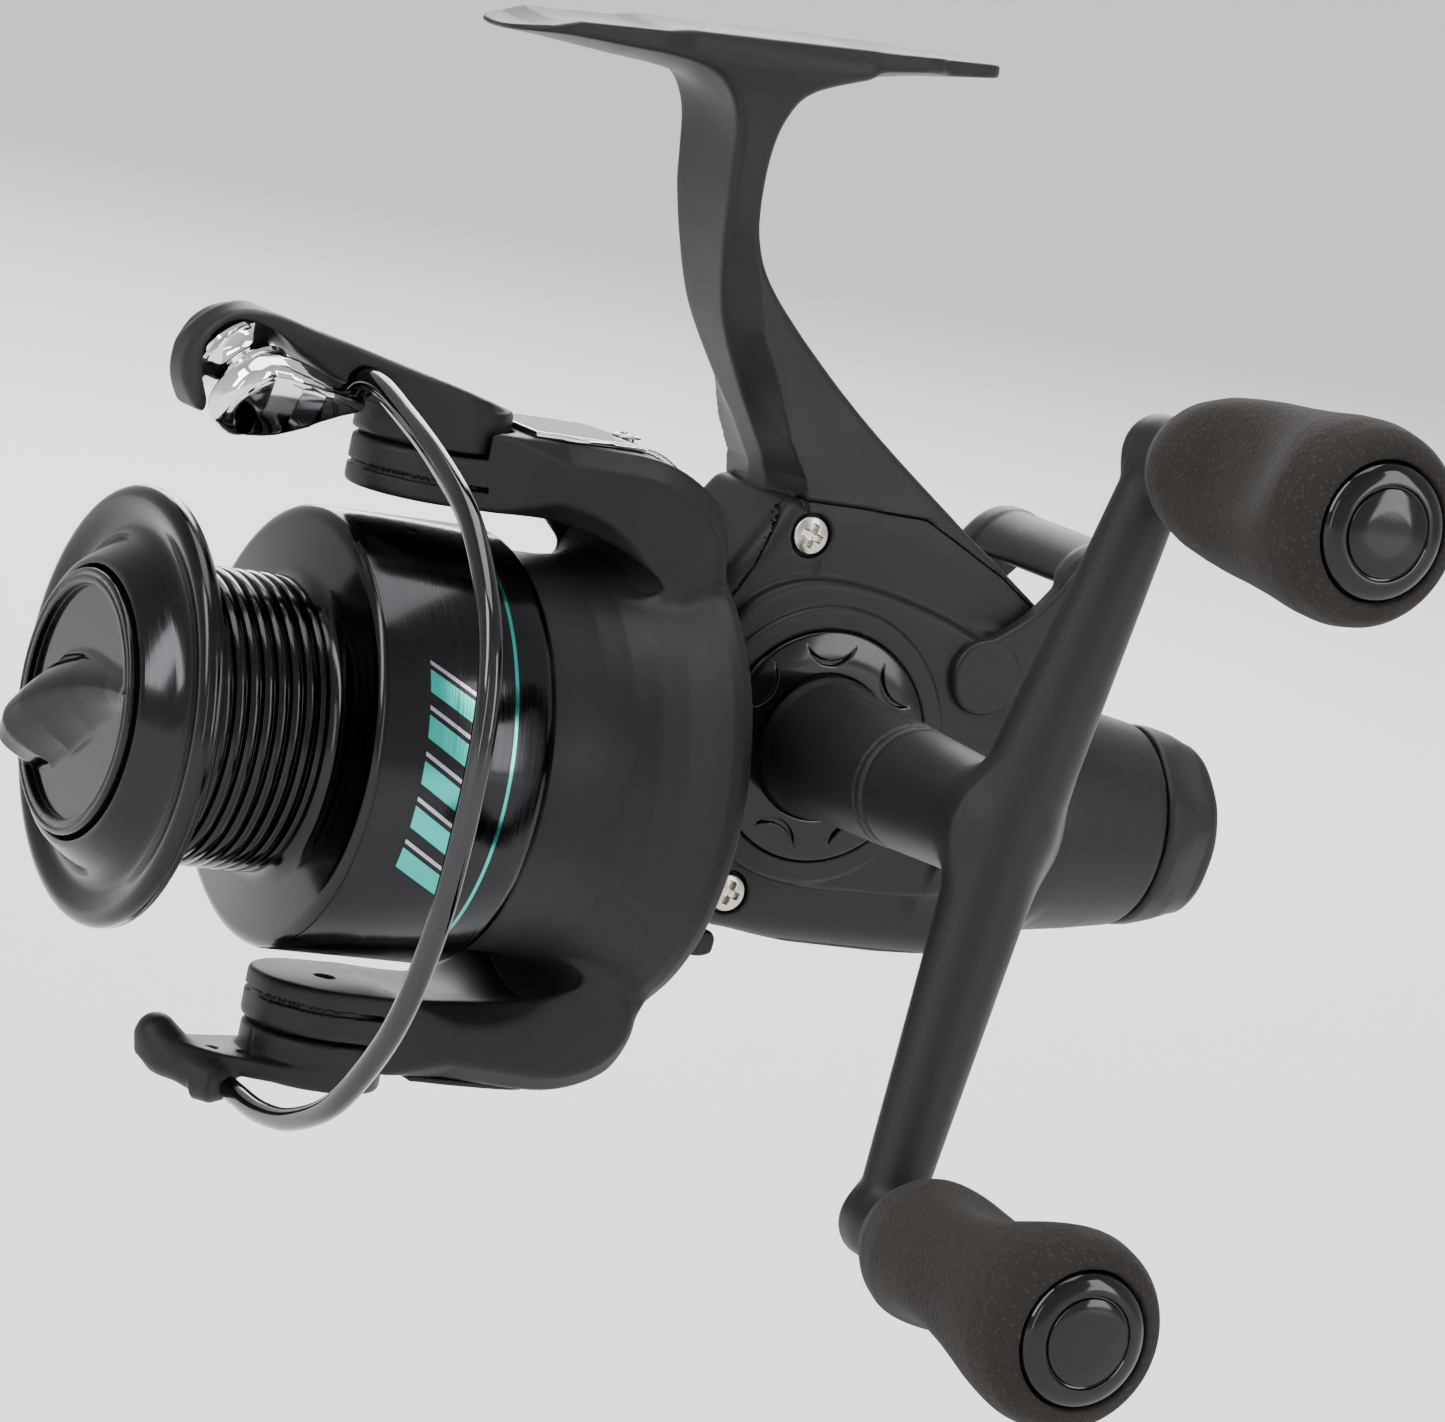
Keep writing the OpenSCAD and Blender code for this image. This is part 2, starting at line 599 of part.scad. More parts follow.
module wire_cone() {
  color(chrome) {
    cone_shape();
    translate(roller_at - 5.6 * unit(roller_dir)) along(roller_dir) cylinder(h = 9, r = 1.2, $fn = 32);
  }
}

// Points of a smooth curve through given points, n to a span
function curve(pts, n = 4) = [for (i = [0:len(pts) - 2], k = [0:n - 1])
  let(t = k / n, a = pts[max(i - 1, 0)], b = pts[i], c = pts[i + 1], d = pts[min(i + 2, len(pts) - 1)])
  0.5 * (2 * b + t * (c - a) + t * t * (2 * a - 5 * b + 4 * c - d)
    + t * t * t * (3 * b - a - 3 * c + d))];

// A bend of the wire as a point in the reel frame
function wire_point(p) = [wire_end[0] - p[0] * wire_bow * sin(wire_turn),
  wire_end[1] - p[0] * wire_bow * cos(wire_turn), p[1]];

module bail_wire() {
  color(gloss) tube([for (p = curve(wire_bends)) wire_point(p)], wire_d / 2);
}

module bail_lever() {
  color(coat) difference() {
    union() {
      translate([pivot_x, 0, -hub_z - 6]) cylinder(h = 6, r = 8.9, $fn = 64);
      hull() {
        translate([pivot_x - 2, 0, -hub_z - 5.6]) cylinder(h = 4.4, r = 6.4, $fn = 32);
        translate([-71, 1, -hub_z - 5.6]) cylinder(h = 4.0, r = 3.2, $fn = 32);
      }
      hull() {
        translate([-75.5, 2.8, -39.4]) sphere(r = 2.7, $fn = 24);
        translate([-66.2, -3.4, -43]) sphere(r = 2.9, $fn = 24);
      }
    }
    translate([pivot_x, 0, -50]) cylinder(h = 20, r = 1.55, $fn = 48);
    translate([pivot_x, 0, -52]) cylinder(h = 10.6, r = 3.4, $fn = 48);
  }
}

module bail_screws() {
  color(nickel) for (s = [0, 1]) mirror([0, 0, s]) {
    translate([pivot_x, 0, 30.5]) cylinder(h = 5.5, r = 1.28, $fn = 48);
    translate([pivot_x, 0, 35.92]) cylinder(h = 6.7, r = 1.5, $fn = 48);
    translate([pivot_x, 0, 42.5]) cylinder(h = 1.4, r = 3.1, $fn = 48);
  }
}

module main_shaft() { color(steel) on_x(-93) cylinder(h = 129, r = shaft_r, $fn = 48); }

module crosswind_block() {
  color(white_plastic) difference() {
    translate([osc_at[0], -0.05, -2.4]) cube([6, 4.7, 21.4], center = true);
    translate([osc_at[0], 2, osc_at[1]]) cube([3.2, 3, 17.4], center = true);
    on_x(0) cylinder(h = 40, r = shaft_r + 0.01, $fn = 48);
    translate([0, 0, -11]) on_x(0) cylinder(h = 40, r = 1.25 + running, $fn = 48);
  }
}

module click_gear() {
  color(dark_plastic) {
    ring_x(-61.4, -59.6, 8.6, shaft_r + 0.01);
    ring_x(-59.7, -56, 4.4, shaft_r + 0.01);
    for (i = [0:23]) rotate([i * 15, 0, 0])
      translate([-60.5, 0, 8.9]) cube([1.7, 1, 1.4], center = true);
  }
}

module spool() {
  color(gloss) turned([
    [-85.4, lip_r], [-86.4, lip_r], [-87.4, lip_r - 0.7], [-87.9, lip_r - 1.7],
    [-87.4, lip_r - 3.6], [-87.0, lip_r - 5.2], [-87.6, lip_r - 6.3], [-90.6, drag_r + 1.2],
    [-91.5, drag_r + 0.7], [-91.5, drag_r + 0.3], [-86, drag_r + 0.3], [-86, 13.4], [-76, 13.4],
    [-76, 4.6], [-62.2, 4.6], [-62.2, 7.4], [-63.4, 9], [-63.4, 25.2], [-41.8, 25.2],
    [-41.8, skirt_r - 0.8], [-43.2, skirt_r - 0.6], [-43.4, skirt_r], [-65.0, skirt_r],
    [-65.8, skirt_r - 0.8], [-65.8, arbor_r + 1.4], [-66.4, arbor_r], [-83.6, arbor_r],
    [-84.2, arbor_r + 0.6], [-84.7, arbor_r + 6]]);
}

module spool_bush() { color(brass) ring_x(-76, -62.2, 4.58, shaft_r + running); }

module drag_washers() {
  for (i = [0:4])
    color(i % 2 == 0 ? fibre : steel) ring_x(-77.5 - i * 1.6, -76.2 - i * 1.6, 13.1, 5);
}

module drag_knob() {
  color(gloss) difference() {
    union() {
      turned([[-86.4, 0], [-86.4, drag_r], [-92.0, drag_r], [-92.6, drag_r - 0.8],
        [-91.8, drag_r - 2.2], [-91.8, 0]]);
      // grip ridge across the face, higher at one end
      hull() {
        translate([-91.4, 0, 0]) rotate([-28, 0, 0]) translate([0, -12.4, 0]) sphere(r = 1.6, $fn = 24);
        translate([-94, 0, 0]) rotate([-28, 0, 0]) translate([0, 3.4, 0]) sphere(r = 4.2, $fn = 32);
        translate([-92, 0, 0]) rotate([-28, 0, 0]) translate([0, 11.4, 0]) sphere(r = 2.6, $fn = 24);
      }
    }
    on_x(-90) cylinder(h = 10, r = 6.6, $fn = 64);
    on_x(-93.4) cylinder(h = 10, r = shaft_r + 0.3, $fn = 48);
  }
}

module drag_nut() {
  color(brass) difference() {
    on_x(-89.9) cylinder(h = 2.4, r = 5, $fn = 6);
    on_x(-94) cylinder(h = 10, r = shaft_r + running, $fn = 48);
  }
}

module drag_spring() { color(spring) spring_x(-86.9, -84.3, 3.6, 0.35, 2); }

module oscillation_gear() {
  half_pitch = 180 / osc_teeth;
  color(zinc) difference() {
    union() {
      spur(osc_at, osc_y, osc_y + gear_t, osc_teeth, spur_module, line_of_centres + 180 + half_pitch);
      rod_y(2.9, osc_y + 0.1, 1.4, osc_at + [0, osc_throw]);
    }
    rod_y(0, 9, 2.2 + running, osc_at);
  }
}

module rear_knob() {
  color(coat) difference() {
    intersection() {
      turned([[tail_end + 0.3, 0], [tail_end + 0.3, tail_r], [tail_end + 4.5, tail_r - 0.5],
        [tail_end + rear_knob_len - 0.8, 11.6], [tail_end + rear_knob_len, 10.6],
        [tail_end + rear_knob_len, 0]]);
      union() {
        on_x(tail_end) cylinder(h = 4.2, r = 20, $fn = 64);
        on_x(tail_end) rotate(15) cylinder(h = 20, r = 13.3, $fn = 6);
      }
    }
    on_x(tail_end - 1) cylinder(h = 6, r = 8.8, $fn = 64);
  }
}

module rear_screw() {
  color(nickel) {
    ring_x(50.2, 52.6, 9.4, 4);
    ring_x(50.2, 58.0, 5, 3.2);
  }
}

module free_spool_lever() {
  bar = [37.6, 33.6];
  color(coat) difference() {
    union() {
      for (s = [-1, 1]) hull() {
        rod_y(s * 12.6 - 1.3, s * 12.6 + 1.3, 4.6, lever_at, 32);
        rod_y(s * 12.6 - 1.3, s * 12.6 + 1.3, 2.6, bar, 32);
      }
      hull() {
        rod_y(-13.9, 13.9, 2.6, bar, 32);
        rod_y(-13.9, 13.9, 1.6, bar + [-4.4, 0.6], 32);
      }
    }
    rod_y(-20, 20, 2 + running, lever_at);
  }
}

module anti_reverse_lever() {
  color(coat) translate([0, 0, -12.5]) {
    on_x(-16.5) cylinder(h = 8, r = 1.5, $fn = 48);
    slab([[-16.5, 2], [-14.6, 2], [-14.6, -6.6], [-2.6, -7.2], [-1.6, -8], [-2.4, -9.8],
      [-13, -9.4], [-16.5, -8]], -1.8, 1.8);
  }
}

reel() main_body();
reel() side_cover();
reel() cover_screws();
reel() trim_disc();
reel() far_cap();
reel() near_bearing();
reel() far_bearing();
reel() pinion_bearing();
reel() one_way_clutch();
reel() guide_rod();
reel() bait_drum();
reel() bait_washers();
reel() rear_spring();
reel() lever_pin();
reel() handle_shaft();
reel() drive_gear();
reel() shaft_collar();
reel() handle_crank();
reel() knob_posts();
reel() upper_grip();
reel() upper_core();
reel() upper_cap();
reel() lower_grip();
reel() lower_core();
reel() lower_cap();
reel() rotor_frame();
reel() pinion();
reel() rotor_nut();
reel() arm_cover();
reel() lower_arm_cover();
reel() arm_screws();
reel() bail_spring();
reel() bail_arm();
reel() bail_lever();
reel() bail_wire();
reel() wire_cone();
reel() bail_screws();
reel() line_roller();
reel() main_shaft();
reel() crosswind_block();
reel() click_gear();
reel() spool();
reel() spool_bush();
reel() drag_washers();
reel() drag_knob();
reel() drag_nut();
reel() drag_spring();
reel() oscillation_gear();
reel() rear_knob();
reel() rear_screw();
reel() free_spool_lever();
reel() anti_reverse_lever();
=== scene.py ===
"""Shapes and finishes of a free-spool spinning reel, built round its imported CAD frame."""

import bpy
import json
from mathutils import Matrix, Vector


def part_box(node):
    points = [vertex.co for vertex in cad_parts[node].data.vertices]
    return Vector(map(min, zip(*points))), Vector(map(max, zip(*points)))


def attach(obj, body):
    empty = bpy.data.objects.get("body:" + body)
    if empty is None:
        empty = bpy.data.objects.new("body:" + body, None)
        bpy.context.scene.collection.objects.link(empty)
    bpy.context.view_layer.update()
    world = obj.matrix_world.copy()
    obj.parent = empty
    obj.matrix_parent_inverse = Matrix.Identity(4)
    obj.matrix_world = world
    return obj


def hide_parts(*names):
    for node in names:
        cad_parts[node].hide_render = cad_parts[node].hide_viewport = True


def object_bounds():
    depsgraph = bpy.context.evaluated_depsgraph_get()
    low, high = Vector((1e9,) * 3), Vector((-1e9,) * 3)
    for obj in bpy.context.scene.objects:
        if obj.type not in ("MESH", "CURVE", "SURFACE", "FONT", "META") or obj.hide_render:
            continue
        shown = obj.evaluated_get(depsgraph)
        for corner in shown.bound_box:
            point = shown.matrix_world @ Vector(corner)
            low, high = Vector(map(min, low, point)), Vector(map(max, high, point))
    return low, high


bl_info = {
    "name": "Free-spool spinning reel",
    "version": (1, 0, 0),
    "blender": (4, 5, 0),
    "location": "View3D > Sidebar > Reel",
    "description": "Builds the outer shapes and finishes of a free-spool spinning reel",
    "category": "Object",
}

import json
import math

import bmesh
import bpy
import numpy as np
from mathutils import Matrix, Vector

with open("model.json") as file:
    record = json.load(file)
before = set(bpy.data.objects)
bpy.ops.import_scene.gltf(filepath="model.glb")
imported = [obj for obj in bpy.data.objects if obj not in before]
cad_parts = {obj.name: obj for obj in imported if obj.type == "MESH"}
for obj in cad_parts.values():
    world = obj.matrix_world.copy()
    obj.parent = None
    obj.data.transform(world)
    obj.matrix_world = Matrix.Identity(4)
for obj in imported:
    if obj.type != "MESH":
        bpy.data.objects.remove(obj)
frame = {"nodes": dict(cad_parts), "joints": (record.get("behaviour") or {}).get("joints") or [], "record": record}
CAD_BOX = [list(corner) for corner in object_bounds()]

# ---------------------------------------------------------------------------
# Datum points of the reel, read from the frame. Shapes are drawn in the reel's
# own millimetres: x runs to the rear along the spool axis, z up to the foot.

JOINTS = {joint["name"]: joint for joint in frame["joints"]}
MOUNTS = {mount["name"]: mount for mount in frame["record"]["mounts"]}
HUB = np.array(JOINTS["rotor_turn"]["pos_m"]) * 1000


def joint_at(name):
    """A joint's position in reel millimetres."""
    return np.array(JOINTS[name]["pos_m"]) * 1000 - HUB


def node_box(name):
    """Lowest and highest corner of a CAD node in reel millimetres."""
    low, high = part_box(name)
    return np.array(low) * 1000 - HUB, np.array(high) * 1000 - HUB


def unit(v):
    """The vector at length 1."""
    v = np.asarray(v, float)
    return v / np.linalg.norm(v)


HANDLE_Z = joint_at("handle_turn")[2]
PIVOT_X = joint_at("bail_swing")[0]
ROLLER = joint_at("roller_turn")
ROLLER_DIR = unit(JOINTS["roller_turn"]["axis"])
LEVER = joint_at("free_spool_swing")
UPPER_KNOB = joint_at("upper_knob_turn")
LOWER_KNOB = joint_at("lower_knob_turn")
FOOT = np.array(MOUNTS["foot_seat"]["pos_m"]) * 1000 - HUB
FOOT_UP = np.array(MOUNTS["foot_seat"]["axis"])
FOOT_REAR = np.array([FOOT_UP[2], 0, -FOOT_UP[0]])
SKIRT_R = node_box("spool")[1][2]
KNOB_LOW, KNOB_HIGH = node_box("rear_knob")
TAIL_END = KNOB_LOW[0] - 0.3


# ---------------------------------------------------------------------------
# Settings that a user of the add-on would change

class ReelShape(bpy.types.PropertyGroup):
    """Sizes of the modelled surfaces"""
    cell: bpy.props.FloatProperty(
        name="Mesh cell", description="Cell of the modelled surfaces",
        default=0.00042, min=0.00025, max=0.0015, precision=5, unit="LENGTH")
    bevel: bpy.props.FloatProperty(
        name="Rotor bevel", description="Width of the flat bevel along the rotor's arms",
        default=0.0023, min=0.0005, max=0.0035, precision=4, unit="LENGTH")
    ribs: bpy.props.IntProperty(
        name="Arbor ribs", description="Number of ribs round the spool's arbor",
        default=9, min=4, max=14)
    wire: bpy.props.FloatProperty(
        name="Bail wire", description="Diameter of the bail wire",
        default=0.0028, min=0.0015, max=0.003, precision=4, unit="LENGTH")


class ReelColours(bpy.types.PropertyGroup):
    """Colours of the finishes"""
    coat: bpy.props.FloatVectorProperty(
        name="Body coat", description="Soft matte coat of the body, rotor and handle",
        subtype="COLOR", default=(0.0105, 0.0100, 0.0108), min=0, max=1)
    foam: bpy.props.FloatVectorProperty(
        name="Knob foam", description="Foam of the two knobs",
        subtype="COLOR", default=(0.019, 0.0165, 0.0145), min=0, max=1)
    gloss: bpy.props.FloatVectorProperty(
        name="Gloss black", description="Gloss black of the caps, trim disc and drag knob",
        subtype="COLOR", default=(0.0025, 0.0025, 0.003), min=0, max=1)
    accent: bpy.props.FloatVectorProperty(
        name="Accent", description="Printed lines on the spool",
        subtype="COLOR", default=(0.035, 0.46, 0.40), min=0, max=1)


# ---------------------------------------------------------------------------
# Solid modelling with distance fields, in millimetres

def near(a, b, k):
    """Union of two fields with a fillet of about k."""
    h = np.clip(0.5 + 0.5 * (b - a) / k, 0, 1)
    return b + (a - b) * h - k * h * (1 - h)


def both(a, b, k=0.4):
    """Intersection of two fields, its edge rounded by about k."""
    return -near(-a, -b, k)


def cut(a, b, k=0.4):
    """Field a less field b."""
    return both(a, -b, k)


def chamfer(a, b, c, k=0.5):
    """Intersection of two fields with a flat bevel that takes c off each face, its edges rounded by k."""
    return both(both(a, b, k), (a + b + c) * math.sqrt(0.5), k)


def ease(t):
    """Smooth step from 0 to 1."""
    t = np.clip(t, 0, 1)
    return t * t * (3 - 2 * t)


def ball(p, at, r):
    """Ball of radius r."""
    return np.linalg.norm(p - at, axis=1) - r


def rod(p, a, b, r0, r1=None):
    """Round-ended rod from a to b, its radius going from r0 to r1."""
    a, b = np.asarray(a, float), np.asarray(b, float)
    r1 = r0 if r1 is None else r1
    d = b - a
    t = np.clip((p - a) @ d / (d @ d), 0, 1)
    return np.linalg.norm(p - a - t[:, None] * d, axis=1) - (r0 + (r1 - r0) * t)


def drum(p, a, b, r0, r1=None, edge=0.4):
    """Flat-ended cylinder or cone from a to b with rounded rims."""
    a, b = np.asarray(a, float), np.asarray(b, float)
    r1 = r0 if r1 is None else r1
    length = np.linalg.norm(b - a)
    d = (b - a) / length
    t = (p - a) @ d
    r = np.linalg.norm(p - a - t[:, None] * d, axis=1)
    side = r - (r0 + (r1 - r0) * np.clip(t / length, 0, 1))
    return both(side, np.abs(t - length / 2) - length / 2, edge)


def curve(points, n=8, closed=False):
    """Smooth curve through points."""
    pts = [np.asarray(q, float) for q in points]
    count, out = len(pts), []
    for i in range(count if closed else count - 1):
        if closed:
            a, b, c, d = (pts[(i + k) % count] for k in (-1, 0, 1, 2))
        else:
            a, b, c, d = (pts[min(max(i + k, 0), count - 1)] for k in (-1, 0, 1, 2))
        for t in np.arange(n) / n:
            out.append(0.5 * (2 * b + t * (c - a) + t * t * (2 * a - 5 * b + 4 * c - d)
                              + t ** 3 * (3 * b - a - 3 * c + d)))
    if not closed:
        out.append(pts[-1])
    return np.array(out)


def arc(at, r, start, end, n):
    """Points of an arc between two angles in degrees."""
    turn = np.radians(np.linspace(start, end, n + 1))
    return np.stack([at[0] + r * np.cos(turn), at[1] + r * np.sin(turn)], 1)


class Outline:
    """Signed distance to a closed outline in a plane, kept on a fine grid; soft rounds its corners."""

    MARGIN = 5.0

    def __init__(self, points, soft, step=0.2):
        v = np.asarray(points, float)
        self.step, self.low = step, v.min(0) - self.MARGIN
        n = np.ceil((v.max(0) + self.MARGIN - self.low) / step).astype(int) + 1
        u, w = np.meshgrid(np.arange(n[0]) * step + self.low[0],
                           np.arange(n[1]) * step + self.low[1], indexing="ij")
        far, inside = np.full(u.shape, 1e9), np.zeros(u.shape, bool)
        for a, b in zip(v, np.roll(v, -1, 0)):
            d = b - a
            t = np.clip(((u - a[0]) * d[0] + (w - a[1]) * d[1]) / max(d @ d, 1e-12), 0, 1)
            far = np.minimum(far, (u - a[0] - t * d[0]) ** 2 + (w - a[1] - t * d[1]) ** 2)
            if a[1] != b[1]:
                inside ^= ((w < a[1]) != (w < b[1])) & (u < a[0] + (w - a[1]) * d[0] / d[1])
        grid = np.where(inside, -1, 1) * np.sqrt(far)
        reach = int(3 * soft / step)
        weight = np.exp(-0.5 * (np.arange(-reach, reach + 1) * step / soft) ** 2)
        weight /= weight.sum()
        for axis in (0, 1):
            grid = np.apply_along_axis(
                lambda line: np.convolve(np.pad(line, reach, mode="edge"), weight, "valid"), axis, grid)
        self.grid = grid

    def __call__(self, u, w):
        n = np.array(self.grid.shape)
        f = (np.stack([u, w], 1) - self.low) / self.step
        g = np.clip(f, 0, n - 1.001)
        i = g.astype(int)
        t = g - i
        z = self.grid
        v = (z[i[:, 0], i[:, 1]] * (1 - t[:, 0]) * (1 - t[:, 1])
             + z[i[:, 0] + 1, i[:, 1]] * t[:, 0] * (1 - t[:, 1])
             + z[i[:, 0], i[:, 1] + 1] * (1 - t[:, 0]) * t[:, 1]
             + z[i[:, 0] + 1, i[:, 1] + 1] * t[:, 0] * t[:, 1])
        return v + np.linalg.norm(f - g, axis=1) * self.step


CORNERS = np.array([(i, j, k) for i in (0, 1) for j in (0, 1) for k in (0, 1)])
EDGES = [(a, b) for a in range(8) for b in range(a + 1, 8) if np.abs(CORNERS[a] - CORNERS[b]).sum() == 1]
# cells along a block's side, and how many blocks are worked out at a time
BLOCK, BATCH = 8, 400


def sample(field, low, high, cell):
    """The field on a grid, worked out only near its surface and filled with its sign elsewhere."""
    low = np.asarray(low, float) - 2 * cell
    count = np.ceil((np.asarray(high, float) + 2 * cell - low) / cell / BLOCK).astype(int)
    span = BLOCK * cell
    at = np.stack(np.meshgrid(*[np.arange(n) for n in count], indexing="ij"), -1).reshape(-1, 3)
    mid = field(low + (at + 0.5) * span)
    grid = np.repeat(np.repeat(np.repeat(mid.reshape(count), BLOCK, 0), BLOCK, 1), BLOCK, 2).astype(np.float32)
    live = at[np.abs(mid) < span * 1.25 + 0.8]
    step = np.stack(np.meshgrid(*[np.arange(BLOCK)] * 3, indexing="ij"), -1).reshape(-1, 3)
    for part in np.array_split(live, max(1, len(live) // BATCH)):
        cells = (part[:, None, :] * BLOCK + step).reshape(-1, 3)
        grid[tuple(cells.T)] = field(low + cells * cell)
    return grid, low


def gradient(field, p, eps=0.03):
    """Slope of the field at each point, from steps of eps."""
    g = np.empty_like(p)
    for axis in range(3):
        d = np.zeros(3)
        d[axis] = eps
        g[:, axis] = (field(p + d) - field(p - d)) / (2 * eps)
    return g


def skin(field, low, high, cell):
    """Points, quads and normals of the surface where the field is nought."""
    grid, low = sample(field, low, high, cell)
    inside = grid < 0
    n = np.array(grid.shape) - 1
    total = sum(inside[i:n[0] + i, j:n[1] + j, k:n[2] + k].astype(np.int8) for i, j, k in CORNERS)
    mixed = (total > 0) & (total < 8)
    where = np.argwhere(mixed)
    number = np.full(mixed.shape, -1)
    number[mixed] = np.arange(len(where))
    values = np.stack([grid[tuple((where + c).T)] for c in CORNERS], 1)
    spot, hits = np.zeros((len(where), 3)), np.zeros(len(where))
    for a, b in EDGES:
        crossed = (values[:, a] < 0) != (values[:, b] < 0)
        t = values[crossed, a] / (values[crossed, a] - values[crossed, b])
        spot[crossed] += CORNERS[a] + t[:, None] * (CORNERS[b] - CORNERS[a])
        hits[crossed] += 1
    p = low + (where + spot / hits[:, None]) * cell
    quads = []
    for axis in range(3):
        u, w = (axis + 1) % 3, (axis + 2) % 3
        first = [slice(None)] * 3
        second = [slice(None)] * 3
        first[axis], second[axis] = slice(0, -1), slice(1, None)
        a, b = inside[tuple(first)], inside[tuple(second)]
        for flip, change in ((False, a & ~b), (True, ~a & b)):
            e = np.argwhere(change)
            e = e[(e[:, u] > 0) & (e[:, w] > 0) & (e[:, u] < n[u]) & (e[:, w] < n[w])]
            corners = []
            for du, dw in ((0, 0), (-1, 0), (-1, -1), (0, -1)):
                c = e.copy()
                c[:, u] += du
                c[:, w] += dw
                corners.append(number[tuple(c.T)])
            quad = np.stack(corners, 1)
            quads.append(quad[:, ::-1] if flip else quad)
    quads = np.concatenate(quads)
    quads = quads[(quads >= 0).all(1)]
    for _ in range(2):
        g = gradient(field, p)
        size = np.maximum((g ** 2).sum(1), 0.05)
        move = -field(p)[:, None] * g / size[:, None]
        far = np.linalg.norm(move, axis=1)
        p = p + move * np.minimum(1, 0.5 * cell / np.maximum(far, 1e-9))[:, None]
    g = gradient(field, p)
    return p, quads, g / np.maximum(np.linalg.norm(g, axis=1), 1e-9)[:, None]


# ---------------------------------------------------------------------------
# Meshes

def add_mesh(name, points, faces, material, normals=None):
    """A mesh object from points in reel millimetres."""
    points = (np.asarray(points, float) + HUB) / 1000
    mesh = bpy.data.meshes.new(name)
    if isinstance(faces, np.ndarray):
        mesh.vertices.add(len(points))
        mesh.vertices.foreach_set("co", points.astype(np.float32).ravel())
        mesh.loops.add(faces.size)
        mesh.loops.foreach_set("vertex_index", faces.astype(np.int32).ravel())
        mesh.polygons.add(len(faces))
        mesh.polygons.foreach_set("loop_start", np.arange(0, faces.size, faces.shape[1], dtype=np.int32))
        mesh.update(calc_edges=True)
    else:
        mesh.from_pydata([tuple(q) for q in points], [], faces)
    mesh.validate()
    mesh.polygons.foreach_set("use_smooth", np.full(len(mesh.polygons), True))
    if normals is not None:
        mesh.normals_split_custom_set_from_vertices([tuple(n) for n in normals])
    mesh.materials.append(material)
    ob = bpy.data.objects.new(name, mesh)
    bpy.context.scene.collection.objects.link(ob)
    return ob


def sculpt(name, field, low, high, material, cell=None):
    """An object whose surface is where the field is nought."""
    cell = cell or bpy.context.scene.reel_shape.cell * 1000
    p, quads, normals = skin(field, low, high, cell)
    return add_mesh(name, p, quads, material, normals=normals)


def rings_mesh(rings, capped=False):
    """Points and quads that join rings of points; capped closes both ends."""
    rings = np.asarray(rings, float)
    m, n = rings.shape[:2]
    i, k = np.meshgrid(np.arange(m - 1), np.arange(n), indexing="ij")
    j = (k + 1) % n
    faces = np.stack([i * n + k, (i + 1) * n + k, (i + 1) * n + j, i * n + j], -1).reshape(-1, 4)
    points = rings.reshape(-1, 3)
    if not capped:
        return points, faces
    faces = [tuple(f) for f in faces]
    faces += [tuple(range(n)), tuple((m - 1) * n + q for q in range(n))[::-1]]
    return points, faces


def turned(name, profile, material, at=(0, 0, 0), axis=(1, 0, 0), sides=96):
    """Solid of revolution from a closed profile of (along, radius), sharp corners kept by edge angle."""
    axis = unit(axis)
    side = unit(np.cross(axis, (0, 0, 1) if abs(axis[2]) < 0.9 else (0, 1, 0)))
    up = np.cross(axis, side)
    turn = np.linspace(0, 2 * np.pi, sides, endpoint=False)
    spin = np.cos(turn)[:, None] * side + np.sin(turn)[:, None] * up
    rings = [np.asarray(at) + a * axis + max(r, 1e-4) * spin for a, r in list(profile) + [profile[0]]]
    points, faces = rings_mesh(rings)
    return tidy_mesh(add_mesh(name, points, faces, material))


def tidy_mesh(ob, angle=38):
    """Welds doubled points, turns the normals outwards and keeps edges sharper than the angle crisp."""
    bm = bmesh.new()
    bm.from_mesh(ob.data)
    bmesh.ops.remove_doubles(bm, verts=bm.verts, dist=2e-6)
    bmesh.ops.dissolve_degenerate(bm, edges=bm.edges, dist=1e-7)
    bmesh.ops.recalc_face_normals(bm, faces=bm.faces)
    bm.to_mesh(ob.data)
    bm.free()
    ob.data.set_sharp_from_angle(angle=math.radians(angle))
    return ob


def tube(name, path, radius, material, sides=20):
    """A round wire along a path with rounded ends."""
    path = np.asarray(path, float)
    tangents = np.gradient(path, axis=0)
    tangents /= np.linalg.norm(tangents, axis=1)[:, None]
    side = unit(np.cross(tangents[0], (1, 0, 0)))
    turn = np.linspace(0, 2 * np.pi, sides, endpoint=False)
    rings = []
    for i, (q, t) in enumerate(zip(path, tangents)):
        side = unit(side - (side @ t) * t)
        up = np.cross(t, side)
        circle = np.cos(turn)[:, None] * side + np.sin(turn)[:, None] * up
        if i == 0:
            rings += [q - t * radius * math.cos(a) + circle * radius * math.sin(a)
                      for a in np.radians((2, 25, 50, 75))]
        rings.append(q + circle * radius)
        if i == len(path) - 1:
            rings += [q + t * radius * math.cos(a) + circle * radius * math.sin(a)
                      for a in np.radians((75, 50, 25, 2))]
    points, faces = rings_mesh(rings, capped=True)
    return tidy_mesh(add_mesh(name, points, faces, material), 60)


def place(ob, body, slot, *nodes):
    """Rides a piece on its body and hides the CAD nodes that it stands for; slot is not used."""
    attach(ob, body)
    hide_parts(*nodes)
    return ob


def model(name, field, node, body, look, slot, room=1.0, cell=None):
    """Sculpts the piece that stands for a CAD node, within the node's box and some room round it."""
    low, high = node_box(node)
    return place(sculpt(name, field, low - room, high + room, FINISHES[look], cell), body, slot, node)


# ---------------------------------------------------------------------------
# Finishes

